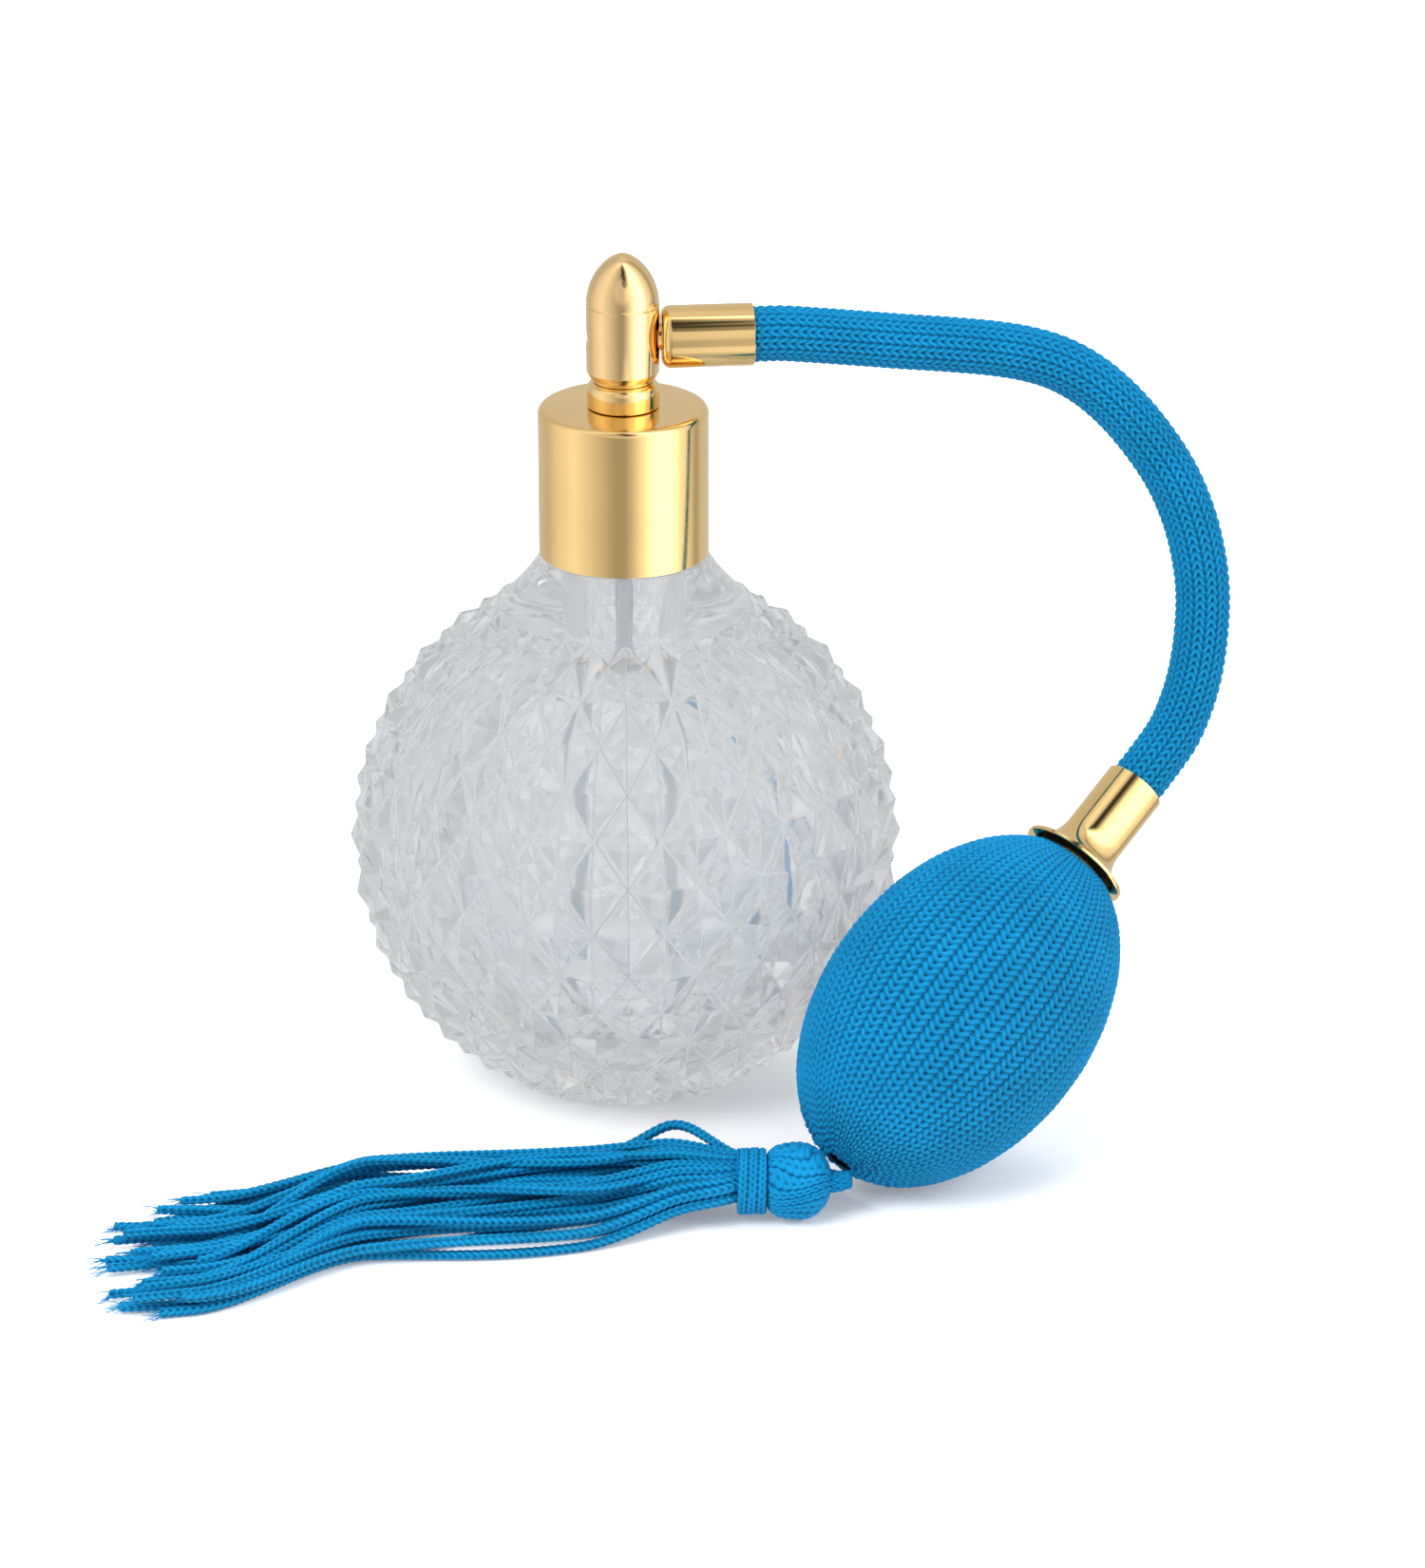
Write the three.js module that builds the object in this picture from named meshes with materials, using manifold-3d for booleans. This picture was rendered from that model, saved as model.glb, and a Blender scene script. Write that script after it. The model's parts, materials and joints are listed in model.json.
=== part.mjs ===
// Perfume bottle with a bulb atomiser: a round, diamond-cut glass bottle, a screw cap that carries
// a bullet-shaped spray head, and a knitted hose that leads to a rubber bulb in a knitted net,
// with a tassel tied to the bulb's tail.
// Millimetres, +Z up. The origin is the centre of the glass base, on the table. The hose leaves
// the spray head along +X, and the bulb and its tassel lie on the table on the -Y side.
import * as THREE from 'three';
import { mergeVertices } from 'three/addons/utils/BufferGeometryUtils.js';
import Module from 'manifold-3d';

const wasm = await Module();
wasm.setup();

// Clearances
const seatGap = 0.1; // between flat faces that rest on each other
const fitGap = 0.2; // radial, between round pieces that fit in each other
const softGap = 0.3; // round the soft pieces and in turned groups
const groundGap = 0.1; // under what lies on the table beside the bottle

// Glass bottle
const sphereRadius = 40; // to the tips of the cut pyramids
const baseRadius = 17.45; // of the flat foot that the sphere is cut to
const pyramidHeight = 2;
const pyramidColumns = 24;
const pyramidRows = 12; // steps of half a pyramid from the lowest tips to the highest
const pyramidTurn = -94.3; // degrees, where one column of tips stands
const footBand = 2.55; // plain band between the foot and the lowest row
const latticeTopRadius = 20; // where the cut pyramids end below the shoulder
const glassWall = 10.5;
const shoulderRise = 3.4; // from the top of the sphere to the seat of the cap
const shoulderFlare = 1.4; // how far the shoulder's curve stands out below the cap
const shoulderBendDepth = 3.4; // of the bend in the shoulder's curve below the cap's seat
const shoulderFootRise = 1; // of the shoulder's foot above the uppermost row
const neckBoreRadius = 6.5;
const neckWall = 2.2;
const neckHeight = 15.2;
const rimEdge = 0.4; // width of the sloped edge round the neck's rim
const threadDepth = 0.65;
const threadPitch = 3;
const threadTurns = 1.4;
const threadStart = 3; // above the shoulder
const threadWidth = 1.6; // at the root
const threadRootDepth = 0.5; // inside the neck's wall

// Screw cap
const insertWall = 1.75;
const insertTopThickness = 2.2;
const capWall = 0.6;
const capTopThickness = 0.9;
const capEdgeRadius = 1;
const capOverhang = 0.1; // of the cap past the glass shoulder under it
const gasketThickness = 1.2;

// Stem and dip tube
const stemRadius = 2.9;
const stemBoreRadius = 1;
const stemFlangeThickness = 1.8;
const dipTubeRadius = 1.5;
const dipTubeBoreRadius = 0.9;
const dipSocketDepth = 4.5;
const dipTubeFloorGap = 1.5; // from the tube's lower end to the floor of the bottle
const collarRadius = 5.15;
const collarRingHeight = 2.6;
const collarShoulderHeight = 1.05;
const collarTaper = 0.2; // of the collar's shoulder before it turns in
const grooveRadius = 4.3; // between the collar and the spray head
const grooveEdge = 0.15; // width of the small edge on either side of the groove

// Spray head
const headRadius = 5.18;
const headChamferHeight = 1.45;
const headCylinderHeight = 9.65;
const headNoseLength = 7.5;
const noseBluntness = 0.62; // 0.5 is a half ellipse, and more is more pointed
const hoseAxisHeight = 10; // above the cap's top
const snapRingRadius = 3.7;
const snapRingThickness = 0.8;
const snapRingHeight = 5.6; // above the cap's top, to the middle of the ring
const stemGrooveDepth = 0.45;
const snapRingOpening = 60; // degrees
const nozzleRadius = 1.4;
const nozzleDepth = 3.1; // inside the head
const nozzleInset = 0.2; // of its flat face inside the head's round side
const nozzleEdge = 0.1;
const nozzleBoreRadius = 0.7;
const nozzleConeDepth = 0.7;
const sprayHoleLength = 0.6;
const nozzleFunnelLength = 0.2; // from the spray hole out to the nozzle's bore
const sprayHoleRadius = 0.35;
const nozzleConeRadius = 0.9;
const channelRadius = 1;
const boreRoof = 0.5; // wall between the stem's bore and the hole for the air nipple

// Hose and its ferrules
const hoseRadius = 4; // over the knitted sleeve
const sleeveThickness = 0.7;
const hoseTubeRadius = 3;
const hoseBoreRadius = 2.3;
const hoseSides = 10;
const hoseSteps = 20;
const nippleRadius = 1.75;
const nippleBarb = 0.2;
const barbLead = 0.2; // length of a barb's steep side
const barbSlope = 1.2; // length of its long side
const barbPlaces = [4, 1.5]; // back from the nipple's tip
const nippleBoreRadius = 0.9;
const nippleDepth = 3.6; // of the air nipple inside the head
const nippleReach = 11; // of each nipple into its ferrule
const ferruleWall = 0.23;
const ferruleEndWall = 1.5;
const ferruleEdgeRadius = 1.3;
const headFerruleLength = 13;
const headFerruleGap = 0.22; // between the spray head and the ferrule
const hoseInset = 1; // from the closed end of a ferrule to the hose in it

// Bulb, measured along its own axis from its middle to the ferrule
const bulbTail = new THREE.Vector3(24.85, -53.79, 6.79); // low end of its egg shape
const bulbHeading = 36.1; // degrees, direction of the axis seen from above
const bulbRise = 36; // degrees, slope of the axis up to the ferrule
const bulbHalfLength = 28.6;
const bulbRadius = 19.35;
const netThickness = 0.45;
const rubberWall = 1.6;
const bulbNeckTrim = 1.7; // from the neck end of the net to where its egg shape would close
const netTailHole = 2; // radius of the hole that the net is drawn in to at the tail
const flangeRadius = 7.95;
const flangeThickness = 0.7;
const flangeFlareLength = 4.6;
const flangeRim = 0.8; // flat rim of the flange, outside the flare
const flangeEdge = 0.2;
const bulbFerruleLength = 15.1; // with its flange
const valveRadius = 4;
const valveLength = 7.6;
const valveProud = 2; // of the outlet valve above the flange's underside
const rubberEdge = 0.4; // sloped edge on the end of the rubber neck
const rubberNeckLength = 3; // straight bore for the outlet valve
const rubberNeckShoulder = 4.6; // from the neck's end to where the bulb's hollow begins
const bulbNippleFlange = 1.7;
const tailValveRadius = 2.85;
const tailValveLength = 7.5;
const tailFlangeRadius = 3.6;
const tailFlangeThickness = 0.6;
const tailValveDepth = 1.3; // of the tail valve's face under the end of the egg shape
const valveBallRadius = 1.6;
const valveChamberRadius = 2;
const valveHoleRadius = 1.2;
const valveSeatThickness = 1.5;
const retainerRadius = 2.3;
const retainerThickness = 0.8;
const retainerHoleRadius = 1;

// Tassel, lying on the table and measured from the knot under the bulb's tail
const knot = new THREE.Vector3(26.5, -56.25, 5.3);
const tasselHeading = 175; // degrees, seen from above
const strapWidth = 3.4;
const strapThickness = 1.5;
const tasselBallDistance = 7.3;
const tasselBallHalfLength = 4.65;
const tasselBallRadius = 5.5;
const tasselBallCut = 0.5; // off the ball's end, where the band begins
const bandLength = 4.1;
const bandRadius = 4.75;
const bandThickness = 0.8;
const strandRadius = 0.75;
const strandColumns = [4, 5, 5, 5, 4, 4, 3, 3, 2]; // strands above each other, from the bottle's side
const strandLength = 73; // of the shortest
const strandRaggedness = 15;
const strandSteps = 8;
const strandPitch = 1.45; // height from strand to strand under the band
const layPitch = 1.6; // and where they lie on each other
const endPitch = 1.65; // and at the ends, where two lie on each other
const skirtHalfWidth = 10.8;
const skirtEndSpread = 6;
const skirtShift = -3.4; // sideways, just past the band
const skirtLean = 0.165; // sideways for each mm
const skirtEndDrift = 5.8; // sideways, where the strands settle
const shiftLength = 10;
const rootOverlap = 0.6; // of the root into the strands
const strandStepGrowth = 1.35; // steps are shorter near the band
const waistShare = 0.32; // of the skirt's width, next to the band
const fanLength = 9; // over which the skirt widens
const lieLength = 22; // over which the strands come down on each other
const settleStart = 50; // where they begin to lie side by side
const settleLength = 24;
const waveHeight = 0.35;
const waveLength = 6; // for one radian
const waveFadeIn = 20;
const loopStrand = 3; // the strand that stands off towards the bottle
const loopBulge = -3.4; // sideways
const loopPlace = 8;
const loopLength = 6;

// Round sections of the pieces, as numbers of sides
const capSides = 40;
const pieceSides = 24;
const smallSides = 16;

const degrees = THREE.MathUtils.degToRad;

// Colours and finishes seen in the photograph
const paint = (color, roughness, metalness) => () => (
  new THREE.MeshStandardMaterial({ color, roughness, metalness })
);
const gold = paint('#e8bd74', 0.18, 1);
const satinGold = paint('#dcb878', 0.35, 1);
const steel = paint('#c9ccd0', 0.25, 1);
const knit = paint('#1c83bb', 0.85, 0);
const blackRubber = paint('#1b1c1e', 0.7, 0);
const plastic = paint('#e9ebea', 0.4, 0);
const clearTube = paint('#dfe8ea', 0.2, 0);
const glassFinish = () => new THREE.MeshStandardMaterial({
  color: '#cdd1d3',
  roughness: 0.05,
  metalness: 0,
  transparent: true,
  opacity: 0.4,
});

// A closed geometry with shared corners, no empty faces and its faces pointing out
function closed(geometry) {
  const bare = geometry.clone();
  bare.deleteAttribute('normal');
  bare.deleteAttribute('uv');
  const merged = mergeVertices(bare, 1e-4);
  const position = merged.getAttribute('position');
  const from = merged.getIndex();
  let kept = [];
  let volume = 0;
  const corner = [new THREE.Vector3(), new THREE.Vector3(), new THREE.Vector3()];
  for (let i = 0; i < from.count; i += 3) {
    const face = [from.getX(i), from.getX(i + 1), from.getX(i + 2)];
    if (face[0] === face[1] || face[1] === face[2] || face[2] === face[0]) continue;
    kept.push(face);
    face.forEach((index, k) => corner[k].fromBufferAttribute(position, index));
    volume += corner[0].dot(corner[1].cross(corner[2]));
  }
  if (volume < 0) kept = kept.map(([a, b, c]) => [a, c, b]);
  merged.setIndex(kept.flat());
  return merged;
}

function toSolid(geometry) {
  const whole = closed(geometry);
  return new wasm.Manifold(new wasm.Mesh({
    numProp: 3,
    vertProperties: new Float32Array(whole.getAttribute('position').array),
    triVerts: new Uint32Array(whole.getIndex().array),
  }));
}

function toGeometry(solid) {
  const { vertProperties, triVerts } = solid.getMesh();
  const geometry = new THREE.BufferGeometry();
  geometry.setAttribute('position', new THREE.BufferAttribute(new Float32Array(vertProperties), 3));
  geometry.setIndex(Array.from(triVerts));
  return geometry;
}

// The other geometries are taken out of the first, or put onto it
const without = (geometry, ...cuts) => (
  toGeometry(cuts.reduce((left, cut) => left.subtract(toSolid(cut)), toSolid(geometry)))
);
const joined = (geometry, ...more) => (
  toGeometry(more.reduce((sum, part) => sum.add(toSolid(part)), toSolid(geometry)))
);

// A solid turned round the Z axis from [radius, height] points
function turned(profile, sides) {
  const points = profile.map(([radius, height]) => new THREE.Vector2(Math.max(radius, 0), height));
  return new THREE.LatheGeometry(points, sides).rotateX(Math.PI / 2);
}

// A ring or tube turned round the Z axis: its profile closes on itself
const turnedRing = (profile, sides) => turned([...profile, profile[0]], sides);

// A round rod from one height to another on the Z axis
function rod(radius, from, to, sides = pieceSides) {
  const cylinder = new THREE.CylinderGeometry(radius, radius, to - from, sides);
  return cylinder.rotateX(Math.PI / 2).translate(0, 0, (from + to) / 2);
}

// Lays a shape that is made along +Z along +X or, with a negative sign, along -X
const alongX = (geometry, sign = 1) => geometry.rotateY(sign * Math.PI / 2);

// Points of an arc from one angle to another, in degrees, round [radius, height]
function arc([radius, height], size, from, to, steps) {
  return Array.from({ length: steps + 1 }, (_, i) => {
    const angle = degrees(from + (to - from) * i / steps);
    return [radius + size * Math.cos(angle), height + size * Math.sin(angle)];
  });
}

// A closed skin through rings of points, each ring with the same number of points
function skin(rings) {
  const count = rings[0].length;
  const positions = rings.flat(2);
  const faces = [];
  for (let r = 0; r + 1 < rings.length; r++) {
    for (let i = 0; i < count; i++) {
      const j = (i + 1) % count;
      const [a, b, c, d] = [r * count + i, r * count + j, (r + 1) * count + j, (r + 1) * count + i];
      // between pyramids, the line across each four-sided patch joins two points of the cut
      const acrossFirst = (r + i) % 2 === 0;
      faces.push(...(acrossFirst ? [a, b, c, a, c, d] : [a, b, d, b, c, d]));
    }
  }
  for (const [r, flip] of [[0, true], [rings.length - 1, false]]) {
    const middle = positions.length / 3;
    const sum = [0, 1, 2].map((k) => rings[r].reduce((total, point) => total + point[k], 0) / count);
    positions.push(...sum);
    for (let i = 0; i < count; i++) {
      const edge = [r * count + i, r * count + (i + 1) % count];
      faces.push(middle, ...(flip ? edge.reverse() : edge));
    }
  }
  const geometry = new THREE.BufferGeometry();
  geometry.setAttribute('position', new THREE.Float32BufferAttribute(positions, 3));
  geometry.setIndex(faces);
  return geometry;
}

// Heights and radii that follow from the driving dimensions
const sphereCentre = Math.sqrt(sphereRadius ** 2 - baseRadius ** 2);
const shoulderTop = sphereCentre + sphereRadius + shoulderRise;
const neckRadius = neckBoreRadius + neckWall;
const rim = shoulderTop + neckHeight;
const insertBore = neckRadius + threadDepth + fitGap;
const insertRadius = insertBore + insertWall;
const capRadius = insertRadius + fitGap + capWall;
const capBottom = shoulderTop + seatGap;
const gasketBottom = rim + seatGap;
const stemFlangeBottom = gasketBottom + gasketThickness + seatGap;
const insertTopBottom = stemFlangeBottom + stemFlangeThickness + seatGap;
const insertTop = insertTopBottom + insertTopThickness;
const capTop = insertTop + seatGap + capTopThickness;
const stemHole = stemRadius + fitGap;
const collarTop = capTop + seatGap + collarRingHeight + collarShoulderHeight;
const headBottom = collarTop + seatGap;
const headCylinderBottom = headBottom + headChamferHeight;
const headNoseBottom = headCylinderBottom + headCylinderHeight;
const hoseAxis = capTop + hoseAxisHeight;
const nippleHole = nippleRadius + fitGap;
const boreTop = hoseAxis - nippleHole - boreRoof;
const stemTop = boreTop - fitGap;
const snapRingMiddle = capTop + snapRingHeight;
const ferruleBore = hoseRadius + fitGap;
const ferruleRadius = ferruleBore + ferruleWall;
const ferruleStart = headRadius + headFerruleGap;
const ferruleEnd = ferruleStart + headFerruleLength;

const model = new THREE.Group();

function add(name, geometry, finish, parent = model) {
  const mesh = new THREE.Mesh(closed(geometry), finish());
  mesh.name = name;
  parent.add(mesh);
  return mesh;
}

// Glass bottle: a ring has two points for each column of pyramids, a tip and the cut beside it
function plainRing(radius, height) {
  const count = pyramidColumns * 2;
  return Array.from({ length: count }, (_, i) => {
    const angle = degrees(pyramidTurn) + i * Math.PI * 2 / count;
    return [radius * Math.cos(angle), radius * Math.sin(angle), height];
  });
}

function pyramidRing(latitude, row) {
  return plainRing(1, 0).map(([x, y], i) => {
    const reach = sphereRadius - ((i + row) % 2 === 0 ? 0 : pyramidHeight);
    const radius = reach * Math.cos(latitude);
    return [x * radius, y * radius, sphereCentre + reach * Math.sin(latitude)];
  });
}

function bottleOutside() {
  const lowest = -Math.acos((baseRadius + footBand) / sphereRadius);
  const highest = Math.acos(latticeTopRadius / sphereRadius);
  const rings = [plainRing(baseRadius, 0)];
  for (let row = 0; row <= pyramidRows; row++) {
    rings.push(pyramidRing(lowest + (highest - lowest) * row / pyramidRows, row));
  }
  const seatRadius = capRadius - capOverhang;
  const latticeTop = sphereCentre + sphereRadius * Math.sin(highest);
  const foot = new THREE.Vector2(latticeTopRadius - pyramidHeight, latticeTop + shoulderFootRise);
  const bend = new THREE.Vector2(seatRadius + shoulderFlare, shoulderTop - shoulderBendDepth);
  const seat = new THREE.Vector2(seatRadius, shoulderTop);
  for (const point of new THREE.QuadraticBezierCurve(foot, bend, seat).getPoints(5)) {
    rings.push(plainRing(point.x, point.y));
  }
  rings.push(plainRing(neckRadius, shoulderTop));
  rings.push(plainRing(neckRadius, rim - rimEdge));
  rings.push(plainRing(neckRadius - rimEdge, rim));
  return skin(rings);
}

function bottleInside() {
  const cavityRadius = sphereRadius - glassWall;
  const bore = Math.asin(neckBoreRadius / cavityRadius);
  const round = arc([0, sphereCentre], cavityRadius, -90, 90 - THREE.MathUtils.radToDeg(bore), 10);
  return turned([...round, [neckBoreRadius, rim + 1], [0, rim + 1]], pyramidColumns);
}

// The neck's thread is one raised ridge that fades in and out at its ends
function neckThread() {
  const stepsPerTurn = 30;
  const steps = Math.round(stepsPerTurn * threadTurns);
  const sections = [];
  for (let i = 0; i <= steps; i++) {
    const angle = i * Math.PI * 2 / stepsPerTurn;
    const height = shoulderTop + threadStart + i * threadPitch / stepsPerTurn;
    const rise = threadDepth * Math.min(1, 0.1 + i / 4, 0.1 + (steps - i) / 4);
    const inner = neckRadius - threadRootDepth;
    const outer = neckRadius + rise;
    const outline = [
      [inner, -threadWidth / 2],
      [outer, -threadWidth / 4],
      [outer, threadWidth / 4],
      [inner, threadWidth / 2],
    ];
    const [forward, sideways] = [Math.cos(angle), Math.sin(angle)];
    sections.push(outline.map(([radius, z]) => [radius * forward, radius * sideways, height + z]));
  }
  return skin(sections);
}

add('glass_bottle', without(joined(bottleOutside(), neckThread()), bottleInside()), glassFinish);

// Screw cap, with its plastic insert and the gasket on the neck's rim
function capShell() {
  const inner = capRadius - capWall;
  return turnedRing([
    [capRadius, capBottom],
    ...arc([capRadius - capEdgeRadius, capTop - capEdgeRadius], capEdgeRadius, 0, 90, 4),
    [stemHole, capTop],
    [stemHole, capTop - capTopThickness],
    [inner, capTop - capTopThickness],
    [inner, capBottom],
  ], capSides);
}

function capInsert() {
  return turnedRing([
    [insertRadius, capBottom + capWall],
    [insertRadius, insertTop],
    [stemHole, insertTop],
    [stemHole, insertTopBottom],
    [insertBore, insertTopBottom],
    [insertBore, capBottom + capWall],
  ], capSides);
}

const neckGasket = () => turnedRing([
  [neckRadius, gasketBottom],
  [neckRadius, gasketBottom + gasketThickness],
  [neckBoreRadius, gasketBottom + gasketThickness],
  [neckBoreRadius, gasketBottom],
], pieceSides);

add('neck_gasket', neckGasket(), plastic);
add('cap_shell', capShell(), gold);
add('cap_thread_insert', capInsert(), plastic);

// Stem: a flange clamped by the cap, a socket for the dip tube and a groove for the snap ring
function atomiserStem() {
  const flangeTop = stemFlangeBottom + stemFlangeThickness;
  const socketTop = stemFlangeBottom + dipSocketDepth;
  const socket = dipTubeRadius + fitGap;
  const grooveHalf = snapRingThickness / 2 + fitGap;
  return turnedRing([
    [socket, stemFlangeBottom],
    [neckRadius, stemFlangeBottom],
    [neckRadius, flangeTop],
    [stemRadius, flangeTop],
    [stemRadius, snapRingMiddle - grooveHalf],
    [stemRadius - stemGrooveDepth, snapRingMiddle - grooveHalf],
    [stemRadius - stemGrooveDepth, snapRingMiddle + grooveHalf],
    [stemRadius, snapRingMiddle + grooveHalf],
    [stemRadius, stemTop],
    [stemBoreRadius, stemTop],
    [stemBoreRadius, socketTop],
    [socket, socketTop],
  ], pieceSides);
}

function dipTube() {
  const bottom = sphereCentre - sphereRadius + glassWall + dipTubeFloorGap;
  const top = stemFlangeBottom + dipSocketDepth - softGap;
  return turnedRing([
    [dipTubeRadius, bottom],
    [dipTubeRadius, top],
    [dipTubeBoreRadius, top],
    [dipTubeBoreRadius, bottom],
  ], smallSides);
}

function stemCollar() {
  const bottom = capTop + seatGap;
  const ringTop = bottom + collarRingHeight;
  return turnedRing([
    [stemHole, bottom],
    [collarRadius, bottom],
    [collarRadius, ringTop],
    [collarRadius - collarTaper, ringTop + collarShoulderHeight * 0.6],
    [grooveRadius + grooveEdge, collarTop - grooveEdge],
    [grooveRadius, collarTop],
    [stemHole, collarTop],
  ], pieceSides);
}

add('atomiser_stem', atomiserStem(), plastic);
add('dip_tube', dipTube(), clearTube);
add('stem_collar', stemCollar(), gold);

// Spray head: a bullet, bored for the stem, the snap ring, the nozzle and the air nipple
function noseProfile() {
  const steps = 7;
  return Array.from({ length: steps + 1 }, (_, i) => {
    const along = Math.sin(i / steps * Math.PI / 2);
    return [headRadius * (1 - along ** 2) ** noseBluntness, headNoseBottom + headNoseLength * along];
  });
}

function sprayHead() {
  const outside = turned([
    [0, headBottom],
    [grooveRadius, headBottom],
    [grooveRadius + grooveEdge, headBottom + grooveEdge],
    [headRadius, headCylinderBottom],
    ...noseProfile(),
  ], pieceSides);
  const ringHalf = snapRingThickness / 2 + fitGap;
  const across = (radius, from, to) => alongX(rod(radius, from, to, smallSides)).translate(0, 0, hoseAxis);
  return without(
    outside,
    rod(stemHole, headBottom - 1, boreTop),
    rod(snapRingRadius + fitGap, snapRingMiddle - ringHalf, snapRingMiddle + ringHalf),
    rod(channelRadius, boreTop - 1, hoseAxis, smallSides),
    across(channelRadius, nozzleDepth - headRadius - 1, headRadius - nippleDepth + 1),
    across(nippleHole, headRadius - nippleDepth - fitGap, headRadius + 1),
    across(nozzleRadius + fitGap, -headRadius - 1, nozzleDepth - headRadius + fitGap),
  );
}

// An open spring ring: its gap lets it spread over the stem's end
function snapRing() {
  const inner = stemRadius - stemGrooveDepth + fitGap;
  const half = degrees(snapRingOpening / 2);
  const ring = new THREE.Shape();
  ring.absarc(0, 0, snapRingRadius, half, Math.PI * 2 - half, false);
  ring.absarc(0, 0, inner, Math.PI * 2 - half, half, true);
  const options = { depth: snapRingThickness, bevelEnabled: false, curveSegments: 14 };
  return new THREE.ExtrudeGeometry(ring, options).translate(0, 0, snapRingMiddle - snapRingThickness / 2);
}

// Made along +Z from its inner end to the spray hole, then laid along -X
function nozzleInsert() {
  const inner = headRadius - nozzleDepth;
  const outer = headRadius - nozzleInset;
  const insert = turnedRing([
    [nozzleRadius, inner],
    [nozzleRadius, outer - nozzleEdge],
    [nozzleRadius - nozzleEdge, outer],
    [nozzleConeRadius, outer],
    [sprayHoleRadius, outer - nozzleConeDepth],
    [sprayHoleRadius, outer - nozzleConeDepth - sprayHoleLength],
    [nozzleBoreRadius, outer - nozzleConeDepth - sprayHoleLength - nozzleFunnelLength],
    [nozzleBoreRadius, inner],
  ], smallSides);
  return alongX(insert, -1).translate(0, 0, hoseAxis);
}

// A tube along +Z with two barbs that the hose is pushed over
function nipple(from, to) {
  const ridges = barbPlaces.flatMap((back) => [
    [nippleRadius, to - back - barbLead],
    [nippleRadius + nippleBarb, to - back],
    [nippleRadius, to - back + barbSlope],
  ]);
  return [
    [nippleRadius, from],
    ...ridges,
    [nippleRadius, to],
    [nippleBoreRadius, to],
    [nippleBoreRadius, from],
  ];
}

function airNipple() {
  const from = headRadius - nippleDepth;
  const to = ferruleStart + nippleReach;
  return alongX(turnedRing(nipple(from, to), smallSides)).translate(0, 0, hoseAxis);
}

// The ferrule is a gold cup, open towards the hose and bored for the nipple
function hoseFerrule() {
  const edge = [ferruleRadius - ferruleEdgeRadius, ferruleStart + ferruleEdgeRadius];
  return alongX(turnedRing([
    [nippleHole, ferruleStart],
    ...arc(edge, ferruleEdgeRadius, -90, 0, 4),
    [ferruleRadius, ferruleEnd],
    [ferruleBore, ferruleEnd],
    [ferruleBore, ferruleStart + ferruleEndWall],
    [nippleHole, ferruleStart + ferruleEndWall],
  ], pieceSides)).translate(0, 0, hoseAxis);
}

add('spray_head', sprayHead(), satinGold);
add('head_snap_ring', snapRing(), steel);
add('nozzle_insert', nozzleInsert(), gold);
add('air_nipple', airNipple(), gold);
add('hose_ferrule', hoseFerrule(), gold);

// Bulb group: its own +Z runs up the bulb's axis, from the tail to the hose
const bulb = new THREE.Group();
const bulbAxis = new THREE.Vector3(
  Math.cos(degrees(bulbRise)) * Math.cos(degrees(bulbHeading)),
  Math.cos(degrees(bulbRise)) * Math.sin(degrees(bulbHeading)),
  Math.sin(degrees(bulbRise)),
);
const bulbCentre = bulbTail.clone().addScaledVector(bulbAxis, bulbHalfLength);
bulb.position.copy(bulbCentre);
bulb.quaternion.setFromUnitVectors(new THREE.Vector3(0, 0, 1), bulbAxis);
model.add(bulb);

// Radius of an egg-shaped skin that lies a depth under the net's outside
function bulbRadiusAt(along, depth) {
  const share = along / (bulbHalfLength - depth);
  return (bulbRadius - depth) * Math.sqrt(Math.max(0, 1 - share ** 2));
}

// Points of that skin between two places on the axis, closer together near its ends
function bulbArc(from, to, depth, steps) {
  const reach = bulbHalfLength - depth;
  const [start, end] = [from, to].map((along) => Math.asin(along / reach));
  return Array.from({ length: steps + 1 }, (_, i) => {
    const along = reach * Math.sin(start + (end - start) * i / steps);
    return [bulbRadiusAt(along, depth), along];
  });
}

const rubberDepth = netThickness + softGap;
const rubberInside = rubberDepth + rubberWall;
const bulbNeckReach = bulbHalfLength - bulbNeckTrim;
const flangeBottom = bulbNeckReach + softGap;
const bulbFerruleEnd = flangeBottom + bulbFerruleLength;
const valveTop = flangeBottom + valveProud;
const valveBottom = valveTop - valveLength;
const valveHole = valveRadius + fitGap;
const bulbNippleTop = valveTop + softGap + bulbNippleFlange + nippleReach - hoseInset;
const hoseEnd = valveTop + softGap + bulbNippleFlange + hoseInset;
const tailValveHole = tailValveRadius + fitGap;
const tailFace = -bulbHalfLength + tailValveDepth;

// Where, at the tail, a skin at a depth comes in to a hole of some radius
function tailAt(depth, hole) {
  const share = hole / (bulbRadius - depth);
  return -(bulbHalfLength - depth) * Math.sqrt(1 - share ** 2);
}

const bulbNet = () => turnedRing([
  ...bulbArc(tailAt(0, netTailHole), bulbNeckReach, 0, 11),
  ...bulbArc(bulbNeckReach, tailAt(netThickness, netTailHole), netThickness, 11),
], pieceSides);

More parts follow.
